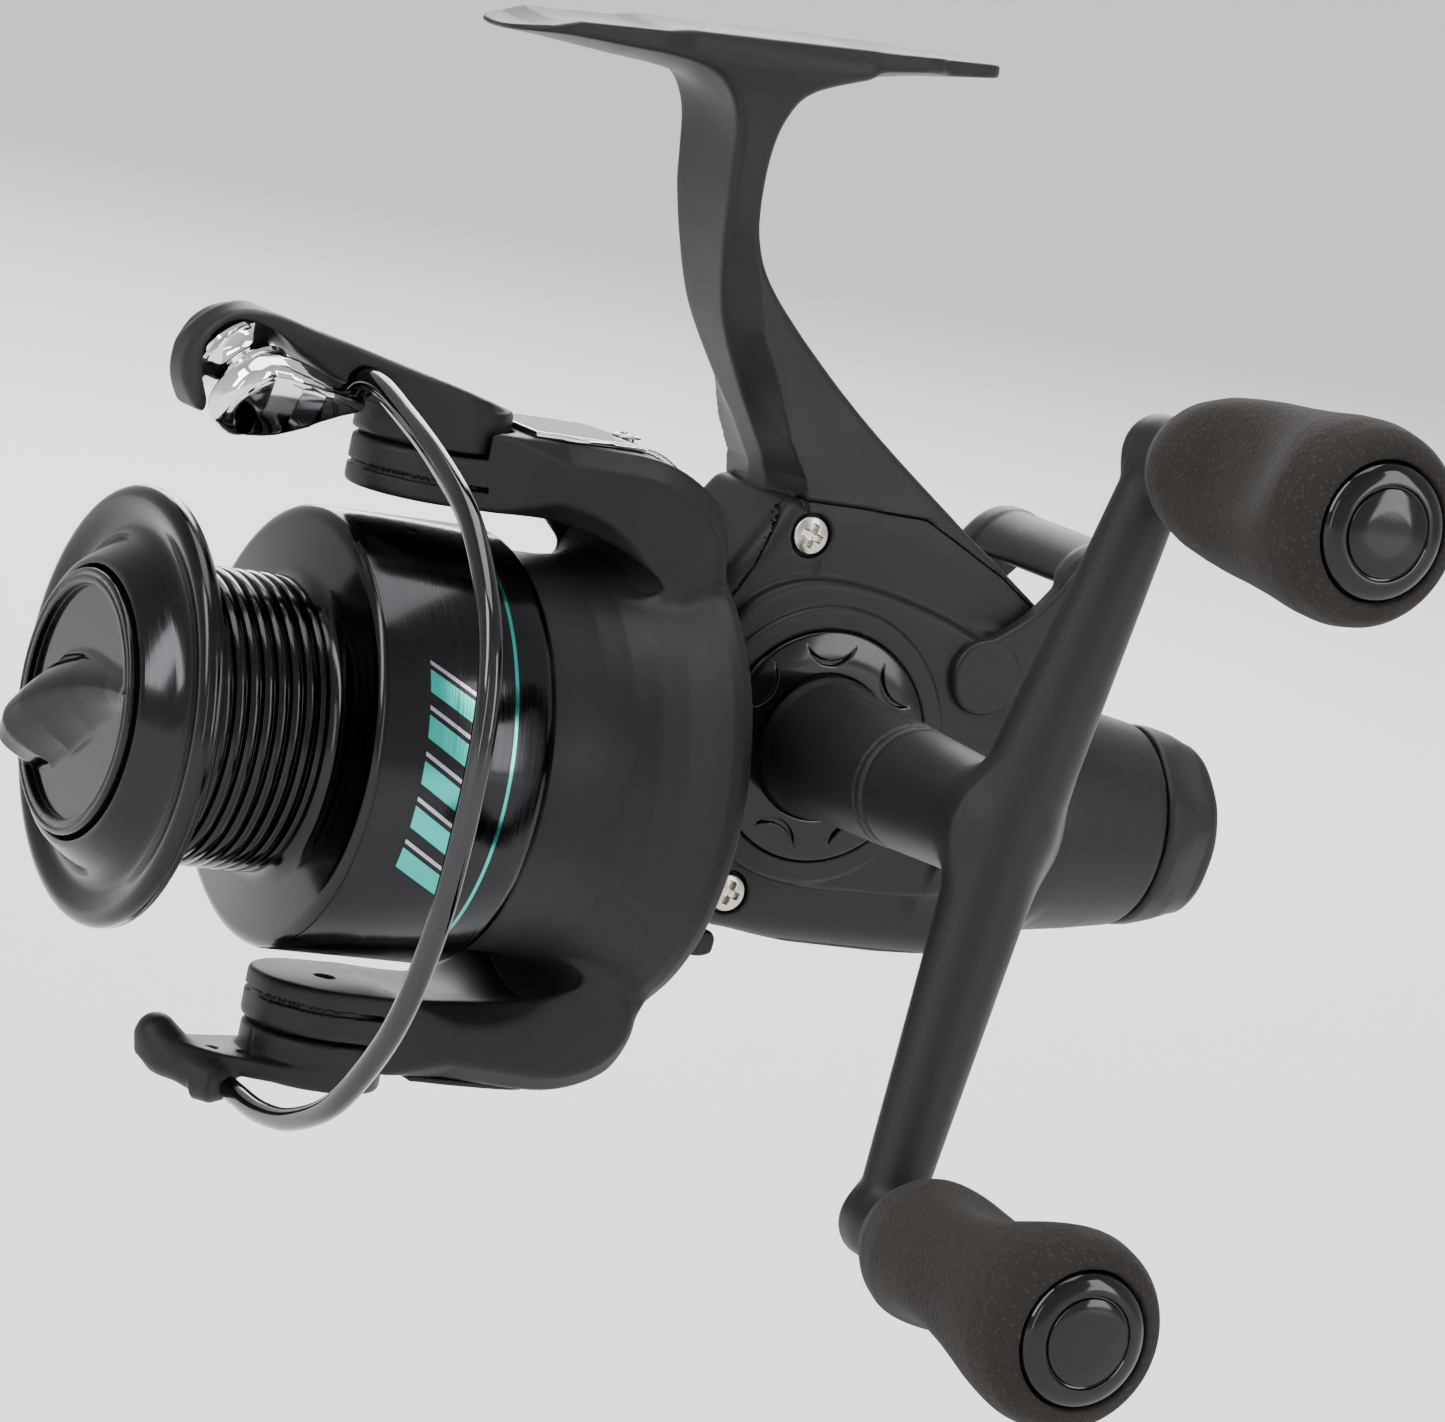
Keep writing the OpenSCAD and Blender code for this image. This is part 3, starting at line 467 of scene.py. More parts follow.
def set_inputs(tree, node, inputs):
    """Sets a node's inputs, each to a value or to another node's output."""
    for socket, value in inputs.items():
        if isinstance(value, bpy.types.NodeSocket):
            tree.links.new(value, node.inputs[socket])
        else:
            node.inputs[socket].default_value = value


def add_node(tree, kind, inputs):
    """A shader node with its inputs set."""
    node = tree.nodes.new("ShaderNode" + kind)
    set_inputs(tree, node, inputs)
    return node


def finish(name, colour, rough, metal=0.0, vary=0.06, grain=2500.0, bump=0.05, rough_vary=0.05, coat=0.0,
           lines=None, level=0.5):
    """Principled material with colour and roughness that vary a little and a fine surface grain.

    grain is the noise scale per metre, and lines stretches it along the spool axis into turning lines."""
    m = bpy.data.materials.new(name)
    m.use_nodes = True
    tree = m.node_tree
    coords = tree.nodes.new("ShaderNodeTexCoord").outputs["Object"]
    mapping = add_node(tree, "Mapping", {"Vector": coords, "Scale": lines or (1, 1, 1)})
    fine = add_node(tree, "TexNoise", {"Vector": mapping.outputs["Vector"], "Scale": grain, "Detail": 3})
    broad = add_node(tree, "TexNoise", {"Vector": coords, "Scale": BROAD_GRAIN, "Detail": 4})
    ramp = add_node(tree, "ValToRGB", {"Fac": broad.outputs["Fac"]})
    low, high = NOISE_SPAN
    for element, position, sign in zip(ramp.color_ramp.elements, NOISE_SPAN, (-1, 1)):
        element.position = position
        element.color = [c * (1 + sign * vary) for c in colour] + [1]
    spread = add_node(tree, "MapRange", {
        "Value": (fine if lines else broad).outputs["Fac"], "From Min": low, "From Max": high,
        "To Min": max(rough - rough_vary, 0.01), "To Max": rough + rough_vary})
    dent = add_node(tree, "Bump", {"Height": fine.outputs["Fac"], "Strength": bump, "Distance": GRAIN_DEPTH})
    set_inputs(tree, tree.nodes["Principled BSDF"], {
        "Base Color": ramp.outputs["Color"], "Roughness": spread.outputs["Result"],
        "Normal": dent.outputs["Normal"], "Metallic": metal, "Coat Weight": coat, "Coat Roughness": 0.08,
        "Specular IOR Level": level})
    return m


def opened(m):
    """A finish's node tree, its shader, its coordinates and its base colour."""
    tree = m.node_tree
    nodes = {node.type: node for node in tree.nodes}
    return (tree, nodes["BSDF_PRINCIPLED"], nodes["TEX_COORD"].outputs["Object"],
            nodes["VALTORGB"].outputs["Color"])


def mixed(tree, where, base, other):
    """The base colour, going over to the other where the mask is 1."""
    mix = tree.nodes.new("ShaderNodeMix")
    mix.data_type = "RGBA"
    set_inputs(tree, mix, {"Factor": where, "A": base, "B": list(other) + [1]})
    return mix.outputs["Result"]


def foam_finish(colour):
    """Closed-cell foam: soft, with fine pits and paler flecks."""
    m = finish("foam", colour, 0.9, vary=0.16, grain=1500, bump=0.8, level=0.12)
    tree, shader, coords, base = opened(m)
    cells = add_node(tree, "TexVoronoi", {"Vector": coords, "Scale": 1400})
    fleck = add_node(tree, "MapRange", {"Value": cells.outputs["Distance"], "From Min": 0.10, "From Max": 0.32,
                                        "To Min": 0.55, "To Max": 0.0})
    flecked = mixed(tree, fleck.outputs["Result"], base, [c * 2.6 for c in colour])
    set_inputs(tree, shader, {"Base Color": flecked, "Sheen Weight": 0.04, "Sheen Roughness": 0.5})
    return m


def printed(m, accent, pale, ring, bars):
    """Prints a ring and a field of slanted bars round the spool.

    ring is (middle, half width) along the spool axis. bars is (start, end) along the axis, (start, count) of
    the bars round it, from the handle's side, and (pitch, share, slant) of each."""
    tree, shader, coords, colour = opened(m)
    split = add_node(tree, "SeparateXYZ", {"Vector": coords})

    def step(operation, *values):
        node = tree.nodes.new("ShaderNodeMath")
        node.operation = operation
        set_inputs(tree, node, dict(enumerate(values)))
        return node.outputs[0]

    along = step("SUBTRACT", step("MULTIPLY", split.outputs["X"], 1000), float(HUB[0]))
    height = step("SUBTRACT", step("MULTIPLY", split.outputs["Z"], 1000), float(HUB[2]))
    nearer = step("MULTIPLY", split.outputs["Y"], -1000)
    round_it = step("MULTIPLY", step("ARCTAN2", height, nearer), float(SKIRT_R))
    circle = step("COMPARE", along, ring[0], ring[1])
    (a0, a1), (start, count), (pitch, share, slant) = bars
    middle = (a0 + a1) / 2
    slanted = step("ADD", round_it, step("MULTIPLY", step("SUBTRACT", along, middle), slant))
    turns = step("DIVIDE", step("SUBTRACT", slanted, start), pitch)
    field = step("MULTIPLY", step("COMPARE", along, middle, (a1 - a0) / 2),
                 step("COMPARE", turns, count / 2, count / 2))
    phase = step("FRACT", turns)
    accent_bars = step("MULTIPLY", field, step("LESS_THAN", phase, share))
    pale_bars = step("MULTIPLY", field, step("COMPARE", phase, share + 0.16, 0.045))
    colour = mixed(tree, step("MAXIMUM", circle, accent_bars), colour, accent)
    set_inputs(tree, shader, {"Base Color": mixed(tree, pale_bars, colour, pale)})
    return m


FINISHES = {}
# scale per metre of the slow change of tone, the span of the noise that is used, and the grain's depth
BROAD_GRAIN, NOISE_SPAN, GRAIN_DEPTH = 90, (0.3, 0.7), 0.0002
TURNED_LINES = (90, 1, 1)
PALE_INK = (0.42, 0.44, 0.48)
# printed ring: where it is along the spool and its half width
RING = (-47.6, 0.22)
# printed bars: their ends along the spool, start and count round it, and each one's pitch, share and slant
BARS = ((-59.0, -52.2), (-13.0, 5), (5.4, 0.5, 0.55))


def make_finishes(colours):
    """Every finish of the reel, by name."""
    coat, foam, gloss, accent = (tuple(c) for c in (colours.coat, colours.foam, colours.gloss, colours.accent))
    anodised = finish("printed_skirt", (0.022, 0.022, 0.024), 0.16, metal=1.0, grain=60, bump=0.05,
                      rough_vary=0.07, lines=TURNED_LINES, coat=0.12)
    FINISHES.update({
        "coat": finish("soft_coat", coat, 0.48, grain=4500, bump=0.10, rough_vary=0.04, level=0.24),
        "foam": foam_finish(foam),
        "gloss": finish("gloss_black", gloss, 0.10, grain=900, bump=0.015, rough_vary=0.03, coat=0.08,
                        level=0.28),
        "skirt": printed(anodised, accent, PALE_INK, RING, BARS),
        "chrome": finish("bright_chrome", (0.74, 0.75, 0.77), 0.05, metal=1.0, grain=700, bump=0.01,
                         rough_vary=0.02, vary=0.02),
        "wire": finish("black_nickel", (0.05, 0.05, 0.053), 0.09, metal=1.0, grain=900, bump=0.01,
                       rough_vary=0.03),
        "nickel": finish("nickel_plate", (0.50, 0.47, 0.41), 0.24, metal=1.0, grain=5000, bump=0.06,
                         rough_vary=0.08),
        "steel": finish("ground_steel", (0.56, 0.56, 0.58), 0.25, metal=1.0, grain=3000, bump=0.05,
                        rough_vary=0.08),
        "spring": finish("drawn_steel", (0.45, 0.45, 0.47), 0.3, metal=1.0, grain=4000, bump=0.05),
        "brass": finish("machined_brass", (0.68, 0.50, 0.22), 0.28, metal=1.0, grain=3500, bump=0.06),
        "zinc": finish("cast_zinc", (0.48, 0.49, 0.51), 0.42, metal=1.0, grain=2500, bump=0.15),
        "acetal": finish("acetal", (0.48, 0.48, 0.44), 0.4, grain=2500, bump=0.05),
        "fibre": finish("pressed_fibre", (0.10, 0.085, 0.07), 0.8, grain=2500, bump=0.3),
    })


# ---------------------------------------------------------------------------
# Housing and foot

FOOT_HALF, FOOT_SIDE = 34.0, 8.3
FOOT_EDGE = [(-34, -2.0), (-33.6, -4.0), (-32.4, -5.9), (-30.2, -7.5), (-27.5, -FOOT_SIDE), (21, -FOOT_SIDE),
             (23.2, -7.7), (25, -6.2), (30.8, -5.4), (32.6, -4.7), (33.7, -3.4), (FOOT_HALF, -1.5)]
FOOT_PLAN = Outline(FOOT_EDGE + [(a, -b) for a, b in FOOT_EDGE[::-1]], 0.3)
# plane between housing and cover, half the housing's width, and where the tail starts
SPLIT_Y, HOUSE_HALF, TAIL_START = -8.0, 11.0, 32.0
# radii of the lever pin's hole, the handle shaft's near bearing and the anti-reverse spindle's hole
PIN_HOLE, BEARING_HOLE, SPINDLE_HOLE = 2.05, 6.05, 1.6
SPINDLE_Z = -12.5
SCREW_SEAT_Y = -9.85


def foot_field(p):
    """The foot: a long plate with a hollow seat, thin at its rear end."""
    q = p - FOOT
    u, v, w = q @ FOOT_REAR, q[:, 1], q @ FOOT_UP
    thick = np.interp(u, [-34, -28, -19, -10, 2, 12, 22, 34], [2.2, 2.8, 4.0, 5.0, 5.2, 4.2, 3.0, 2.2])
    tip = np.interp(u, [-34, -29.5, -26.5], [1.0, 0.8, 0])
    top = w + 0.6 * np.clip(1 - (v / 7.2) ** 2, 0, 1) + tip
    under = -w - thick * (1 - 0.42 * (v / FOOT_SIDE) ** 2)
    return both(FOOT_PLAN(u, v), both(top, under, 0.5), 0.5)


STEM_FRONT = [(-33, 88.2), (-29.5, 86.6), (-26.4, 83.6), (-24.6, 80), (-23.9, 75), (-23.5, 71.3),
              (-22.1, 64.1), (-19.9, 56.9), (-15.7, 49.7), (-11.5, 43.7), (-8.7, 39.2), (-7.6, 35.0),
              (-8.0, 30.7), (-10.0, 27)]
STEM_REAR = [(34, 21), (33.4, 24.3), (22.8, 31.6), (15.1, 36.6), (1.1, 46.9), (-9.4, 55.8), (-15.2, 61.6),
             (-17.8, 66.5), (-18.7, 71.4), (-18.9, 77), (-18.0, 81.5), (-15.4, 85.2), (-9, 88.6)]
STEM_SIDE = Outline(np.vstack([curve(STEM_FRONT, 5), [(-10, 8), (30, 8)], curve(STEM_REAR, 5)]), 0.5)


def stem_field(p):
    """Stem and web: narrow in front, flaring in a hollow to a ridge and then as wide as the housing."""
    x, y, z = p.T
    front_x = np.interp(z, [b for a, b in STEM_FRONT[::-1]], [a for a, b in STEM_FRONT[::-1]])
    ridge_x = np.interp(z, [30, 36.8, 43.7, 50.6, 55.6, 64.2, 75, 84],
                        [-3.5, -6.7, -10, -12.8, -15.6, -18.0, -19.4, -19])
    front_half = np.interp(z, [24, 32, 38, 45, 53, 60, 66, 71, 83, 90],
                           [6, 4.2, 2.9, 3.4, 4.6, 5.8, 6.8, 7.6, 8.2, 8.2])
    ridge_half = np.interp(z, [34, 37, 43, 50, 56, 64, 71, 79, 84, 90],
                           [11, 10.9, 9.8, 8.7, 7.9, 7.2, 7.3, 7.9, 8.3, 8.3])
    t = np.clip((x - front_x) / np.maximum(ridge_x - front_x, 1.5), 0, 1)
    half = front_half + (ridge_half - front_half) * t ** 1.6
    # the upper web is a little hollow behind the ridge
    behind = ease((x - ridge_x - 1) / 9) * ease((z - 36) / 11) * ease((70 - z) / 14)
    half = half - 0.7 * behind
    return both(STEM_SIDE(x, z), np.abs(y) - half, 1.3)


HOUSE = Outline([(-16.6, 24.5), (-16.6, -8.6), (-14.6, -10.6), (-13.4, -13.2), (-10.6, -15.8), (-7.0, -16.9),
                 (-3.8, -17.2),
                 (5, -18.6), (18, -18.8), (31, -17.5), (36, -16.6), (36, 22.0), (32.0, 24.6), (22.8, 30.6),
                 (10.5, 36.4), (1.5, 36.7), (-8.5, 36.7)], 0.8)
PAD = Outline(curve([(-16.2, 8), (-15.6, 16), (-12.7, 23.6), (-6, 27.2), (2, 27.5), (11, 25.9), (19, 23.4),
                     (27, 19.6), (31, 12), (30, -2), (22, -9.2), (9, -10.3), (-1, -9.9), (-8.7, -6.4),
                     (-14, 0)], 6, closed=True), 0.3)
TAIL = Outline([(20, -5), (20, 15.2), (TAIL_START, 15.6), (38, 15.1), (46, 14.1), (TAIL_END - 0.8, 13.1),
                (TAIL_END, 12.8), (TAIL_END, -5)], 0.15)
COVER = Outline([(-8.5, 36.7), (1.5, 36.7), (10.5, 36.4), (22.8, 30.6), (34, 23.4), (34, -40), (-40, -40),
                 (-40, 20), (-16.6, 20), (-12, 28)], 0.4)


def shell_field(p):
    """Outer form of the closed housing with its cover, tail and bosses."""
    x, y, z = p.T
    r = np.hypot(y, z)
    side_y = np.abs(y)
    body = both(HOUSE(x, z), side_y - HOUSE_HALF, 3.2)
    # softer lower edges
    body = both(body, np.hypot(np.maximum(side_y - 4.5, 0), np.minimum(z + 11.5, 0)) - 7.4, 1.0)
    body = near(body, TAIL(x, r), 3.0)
    body = near(body, stem_field(p), 0.8)
    body = near(body, foot_field(p), 4.2)
    body = near(body, both(PAD(x, z), side_y - 13.0, 1.0), 0.9)
    from_axis = np.hypot(x, z - HANDLE_Z)
    ring = both(from_axis - 17.3, side_y - 14.1, 0.8)
    body = near(body, ring, 0.5)
    lever = np.hypot(x - LEVER[0], z - LEVER[2])
    return near(body, both(lever - 5.6, side_y - 11.25, 0.5), 1.2)


def works_field(p):
    """Room for the gears, bearings and drag inside the housing."""
    x, y, z = p.T
    walls = np.abs(y + 0.2) - 8.8
    low_room = np.maximum(np.maximum(-4 - x, x - 29), np.maximum(np.maximum(-15.6 - z, z - 15), walls))
    high_room = np.maximum(np.maximum(-x, x - 15), np.maximum(z - 24, walls))
    gears = np.maximum(np.hypot(x, z - HANDLE_Z) - 16.6, np.maximum(walls, -15.2 - x))
    room = np.minimum(np.minimum(gears, low_room), np.maximum(high_room, -10 - z))
    tail = np.maximum(np.hypot(y, z) - 10.2, np.maximum(28 - x, x - 60))
    front = np.maximum(np.hypot(y, z) - 8.35, x + 15)
    bearing = np.maximum(np.hypot(x, z - HANDLE_Z) - 8.1, 12.0 - y)
    seat = np.maximum(np.hypot(x, z - HANDLE_Z) - BEARING_HOLE, np.maximum(y - 12.2, 4 - y))
    pin = np.hypot(x - LEVER[0], z - LEVER[2]) - PIN_HOLE
    spindle = np.hypot(y, z - SPINDLE_Z) - np.where(x < -14.2, 3.0, SPINDLE_HOLE)
    return np.minimum.reduce([room, tail, front, bearing, seat, pin, np.maximum(spindle, x + 8)])


def screw_places():
    """Middles of the cover's screws, taken from the screws' solids."""
    mesh = frame["nodes"]["cover_screws"].data
    co = np.array([v.co for v in mesh.vertices]) * 1000 - HUB
    heads = co[co[:, 1] < co[:, 1].min() + 0.05]
    found = []
    for q in heads:
        if all(np.hypot(q[0] - f[0][0], q[2] - f[0][2]) > 8 for f in found):
            found.append([q])
        else:
            next(f for f in found if np.hypot(q[0] - f[0][0], q[2] - f[0][2]) <= 8).append(q)
    return [(np.min(f, 0) + np.max(f, 0)) / 2 for f in found]


def cover_region(p, gap):
    """Where the side cover is, rather than the housing: on the handle's side, below the web and the stem."""
    x, y, z = p.T
    return np.maximum(COVER(x, z), np.maximum(y - SPLIT_Y, x - TAIL_START)) + gap


def housing_field(p):
    """Housing, stem, foot and tail."""
    shell = shell_field(p)
    front = both(np.hypot(p[:, 1], p[:, 2]) - 9.6, np.abs(p[:, 0] + 19.5) - 3.9, 0.3)
    shell = near(shell, front, 0.4)
    return cut(cut(shell, cover_region(p, -0.05), 0.12), works_field(p), 0.12)


def cover_field(p):
    """Side cover with the raised pad, the ring round the trim disc and three counterbores."""
    x, y, z = p.T
    field = both(shell_field(p), cover_region(p, 0.05), 0.12)
    from_axis = np.hypot(x, z - HANDLE_Z)
    room = np.maximum(from_axis - 15.2, -9.3 - y)
    room = np.minimum(room, np.maximum(from_axis - BEARING_HOLE, -13.4 - y))
    room = np.minimum(room, from_axis - 4.4)
    room = np.minimum(room, np.hypot(x - LEVER[0], z - LEVER[2]) - PIN_HOLE)
    field = cut(field, room, 0.12)
    field = cut(field, np.maximum(from_axis - 14.45, y + 13.3), 0.25)
    for at in screw_places():
        from_screw = np.hypot(x - at[0], z - at[2])
        field = cut(field, np.maximum(from_screw - 2.75, y + 9.8), 0.35)
        field = cut(field, from_screw - 1.5, 0.1)
    return field


def trim_field(p):
    """Gloss ring round the handle shaft with crescent hollows."""
    x, y, z = p.T
    a, b = x, z - HANDLE_Z
    r = np.hypot(a, b)
    face = -y - 14.75 + 0.012 * (r - 9) ** 2
    ring = both(both(r - 14.3, 9.0 - r, 0.3), np.maximum(face, y + 13.35), 0.35)
    for k in range(7):
        turn = math.radians(96 + k * 360 / 7)
        out = np.array([math.cos(turn), math.sin(turn)])
        inner = np.hypot(a - 13.6 * out[0], b - 13.6 * out[1]) - 3.5
        outer = np.hypot(a - 15.1 * out[0], b - 15.1 * out[1]) - 4.35
        crescent = both(inner, -outer, 0.1)
        ring = cut(ring, np.maximum(crescent, -(-y - 14.2)), 0.18)
    return ring


def cross_screw(p, at, out, r, tall, deep):
    """Pan head with a cross recess, its top towards out."""
    q = p - at
    t = q @ out
    side = unit(np.cross(out, (0.3, 0.2, 1)))
    up = np.cross(out, side)
    u, v = q @ side, q @ up
    radius = np.hypot(u, v)
    dome = t - tall + 0.09 * radius ** 2 * (2.3 / r) ** 2
    head = both(radius - r, np.maximum(dome, -t), 0.25)
    for a, b in ((u, v), (v, u)):
        arm = np.maximum(np.abs(a) - 0.36 - 0.05 * t, np.abs(b) - 0.62 * r)
        head = cut(head, np.maximum(arm, tall - deep - t), 0.12)
    return head


def screws_field(seats, head, shank):
    """Field of like screws. seats holds each head's seat and way out, head is (radius, height, recess depth),
    shank is (start, end, radius), measured out from the seat."""
    def field(p):
        start, end, r = shank
        return np.minimum.reduce([part for seat, out in seats for part in (
            cross_screw(p, seat, out, *head), drum(p, seat + start * out, seat + end * out, r, edge=0.2))])
    return field


def paired(x, z):
    """Seats of two screws that face away from the spool axis, over and under it."""
    return [(np.array([x, 0, s * z]), np.array([0, 0, float(s)])) for s in (1, -1)]


class REEL_OT_housing(bpy.types.Operator):
    """Housing with stem and foot, side cover, trim disc and cover screws"""
    bl_idname = "reel.housing"
    bl_label = "Housing"

    def execute(self, context):
        model("housing", housing_field, "main_body", "frame", "coat", "body_coat")
        model("cover", cover_field, "side_cover", "frame", "coat", "body_coat", cell=0.36)
        model("trim_ring", trim_field, "trim_disc", "frame", "gloss", "gloss_trim", 0.6, 0.2)
        seats = [(np.array([at[0], SCREW_SEAT_Y, at[2]]), np.array([0, -1.0, 0])) for at in screw_places()]
        screws = screws_field(seats, (2.4, 1.5, 0.8), (0.05, -6.55, 1.2))
        model("cross_screws", screws, "cover_screws", "frame", "nickel", "nickel_screw", 0.5, 0.16)
        return {"FINISHED"}


# ---------------------------------------------------------------------------
# Handle

def collar_field(p):
    """Sleeve over the handle shaft, with a parting line and a seam ring."""
    x, y, z = p.T
    r = np.hypot(x, z - HANDLE_Z)
    wall = np.interp(-y, [15.2, 17, 22, 36.5, 38], [9.1, 8.5, 8.1, 7.65, 7.4])
    sleeve = both(r - wall, np.abs(-y - 26.6) - 11.4, 0.7)
    sleeve = cut(sleeve, np.hypot(r - wall, y + 36.6) - 0.22, 0.15)
    sleeve = cut(sleeve, np.hypot(x + 1.2, z - HANDLE_Z - wall) - 0.16, 0.15)
    return cut(sleeve, np.maximum(r - 4.3, -36.1 - y), 0.1)


CRANK_OVAL = 1.28


def crank_field(p):
    """Hub and both arms of the crank, oval and tapering to the knobs' bosses."""
    x, y, z = p.T
    r = np.hypot(x, z - HANDLE_Z)
    hub = both(r - np.interp(-y, [38, 48, 58], [7.5, 7.1, 6.9]), np.abs(-y - 48.7) - 10.5, 0.6)
    flat = p * (1, CRANK_OVAL, 1)
    arms, bosses = [], []
    for knob in (UPPER_KNOB, LOWER_KNOB):
        root = np.array([0, -59.4 * CRANK_OVAL, HANDLE_Z])
        tip = np.array([knob[0], -63.6 * CRANK_OVAL, knob[2]])
        arms.append(rod(flat, root, tip, 5.9, 3.9) / 1.15)
        bosses.append(drum(p, (knob[0], -60.6, knob[2]), (knob[0], -67.15, knob[2]), 4.6, 4.2, 1.1))
    bar = near(arms[0], arms[1], 1.5)
    field = near(hub, bar, 3.6)
    return near(near(field, bosses[0], 1.4), bosses[1], 1.4)


# the foam grip's inner end, and its outline as (along, radius) from there
GRIP_START = -67.6
GRIP = Outline([(0, -4), (0, 5.0), (2.2, 6.6), (5, 8.0), (9.5, 9.2), (14, 9.8), (18, 10.2), (23, 10.5),
                (28, 10.95), (33, 11.55), (36.5, 11.7), (39.5, 11.2), (41.2, 10.2), (42.0, 8.6),
                (42.0, -4)], 0.45)
# the knob cap's outline, (along, radius) from its seat
KNOB_CAP = [(0, 0), (0, 8.0), (2.4, 8.0), (3.1, 7.8), (3.7, 7.3), (4.0, 6.6), (4.12, 5.7), (4.10, 5.45),
            (3.85, 5.3), (3.80, 5.1), (4.02, 4.95), (4.12, 4.6), (4.2, 2.5), (4.22, 0)]


def grip_field(knob, scoop):
    """Foam grip round a knob's axis with two opposite finger scoops that face the scoop angle."""
    turn = math.radians(scoop)
    out = np.array([math.cos(turn), 0, math.sin(turn)])

    def field(p):
        q = p - knob
        r = np.hypot(q[:, 0], q[:, 2])
        along = GRIP_START - p[:, 1]
        solid = GRIP(along, r)
        for s in (1, -1):
            hollow = np.hypot(s * (q @ out) - 33.6, along - 19.2) - 26.6
            solid = cut(solid, hollow, 2.2)
        solid = cut(solid, np.maximum(r - 8.1, 38.6 - along), 0.4)
        return cut(solid, np.maximum(r - 4.05, along - 50), 0.1)
    return field


class REEL_OT_handle(bpy.types.Operator):
    """Shaft sleeve, crank, foam grips and knob caps"""
    bl_idname = "reel.handle"
    bl_label = "Handle"

    def execute(self, context):
        model("shaft_sleeve", collar_field, "shaft_collar", "handle", "coat", "body_coat", cell=0.32)
        model("crank", crank_field, "handle_crank", "handle", "coat", "body_coat", 1.5, 0.5)
        for word, knob, scoop in (("upper", UPPER_KNOB, 165), ("lower", LOWER_KNOB, 75)):
            body = word + "_knob"
            grip = model(word + "_foam_grip", grip_field(knob, scoop), word + "_grip", body, "foam", "foam",
                         cell=0.4)
            seat = (knob[0], node_box(word + "_cap")[1][1], knob[2])
            cap = turned(word + "_knob_cap", KNOB_CAP, FINISHES["gloss"], seat, (0, -1, 0))
            place(cap, body, "gloss_trim", word + "_cap")
        return {"FINISHED"}


# ---------------------------------------------------------------------------
# Rotor

# collar's radius, arms' height over the spool axis, pods' radius, and where the rim ends
COLLAR_R, ARM_Z, POD_R, RIM_BACK = 24.3, 39.3, 9.3, -17.6
# pocket for the bail's spring in the arms, and the screws of the arms' covers
POCKET_X, STRIP_SCREW_X = -33.5, -27
ROTOR_RING = Outline([
    (-51, 22.2), (-51, COLLAR_R - 0.3), (-50.7, COLLAR_R), (-34, COLLAR_R), (-30.5, 24.7), (-27.5, 25.7),
    (-24.6, 27.2), (-22.0, 28.9), (-20.2, 30.0), (-18.9, 30.3), (-17.6, 30.0), (-17.6, 28.5), (-20.5, 26.5),
    (-24.2, 23), (-24.6, 14), (-24.6, 3.02), (-33, 3.02), (-33, 7.6), (-27.4, 9), (-27.4, 20.6),
    (-30, 22.2)], 0.15)
ARM_OUTER = [(-30, ARM_Z), (-27.2, 39.0), (-24.4, 38.1), (-21.9, 36.6), (-19.9, 34.6), (-18.5, 32.2),
             (-17.7, 29.4), (-17.6, 25.5)]
ARM_INNER = [(-24, 21), (-28.2, 22.4), (-29.9, 24.8), (-32.0, 27.2), (-35, 28.9), (-39.5, 29.7), (-46, 29.8)]
ROTOR_ARM = Outline(np.vstack([
    [(-62.3, 29.8), (-62.3, 35.9), (-50, 35.9), (-49.9, ARM_Z)], curve(ARM_OUTER, 5),
    [(-20.4, 23.6)], curve(ARM_INNER, 5)]), 0.3)
ARM_EDGE = [(-44, 9.6), (-38, 10.4), (-30, 12.8), (-24, 15.4), (RIM_BACK, 18.6)]
ARM_PLAN = Outline(np.vstack([
    arc((PIVOT_X, 0), POD_R, 270, 90, 18), ARM_EDGE, [(a, -b) for a, b in ARM_EDGE[::-1]]]), 0.3)


def rotor_field(p):
    """Rotor: collar, flared rim and the two bevelled arms with their round pods."""
    x, y, z = p.T
    r = np.hypot(y, z)
    top = np.abs(z)
    bevel = bpy.context.scene.reel_shape.bevel * 1000 * np.clip((x + 47) / 8, 0, 1) + 0.25
    arms = np.maximum(chamfer(ROTOR_ARM(x, top), ARM_PLAN(x, y), bevel), 14 - top)
    # the arms' inner faces are hollow towards the collar
    scoop = np.hypot(np.abs(y) * 0.55, (top - 22.0)) - 8.2
    arms = cut(arms, np.maximum(scoop, np.maximum(-46 - x, x + 25.5)), 0.8)
    body = near(ROTOR_RING(x, r), arms, 2.6)
    body = cut(body, np.maximum(r - (COLLAR_R - 1.0), x + 28.7), 0.2)
    from_pivot = np.hypot(x - PIVOT_X, y)
    body = cut(body, np.maximum(from_pivot - 9.6, 35.9 - top), 0.1)
    body = cut(body, np.maximum(np.abs(top - 32.4) - 0.3, np.abs(from_pivot - 9.5) - 0.7), 0.15)
    body = cut(body, np.maximum(from_pivot - 1.3, 28 - top), 0.1)
    pocket = np.maximum(np.maximum(np.abs(x - POCKET_X) - 9.5, np.abs(y) - 4.5), 33.5 - top)
    body = cut(body, np.maximum(pocket, top - 37.9), 0.2)
    body = cut(body, np.maximum(np.hypot(x - STRIP_SCREW_X, y) - 1.1, 36.8 - top), 0.1)
    return body


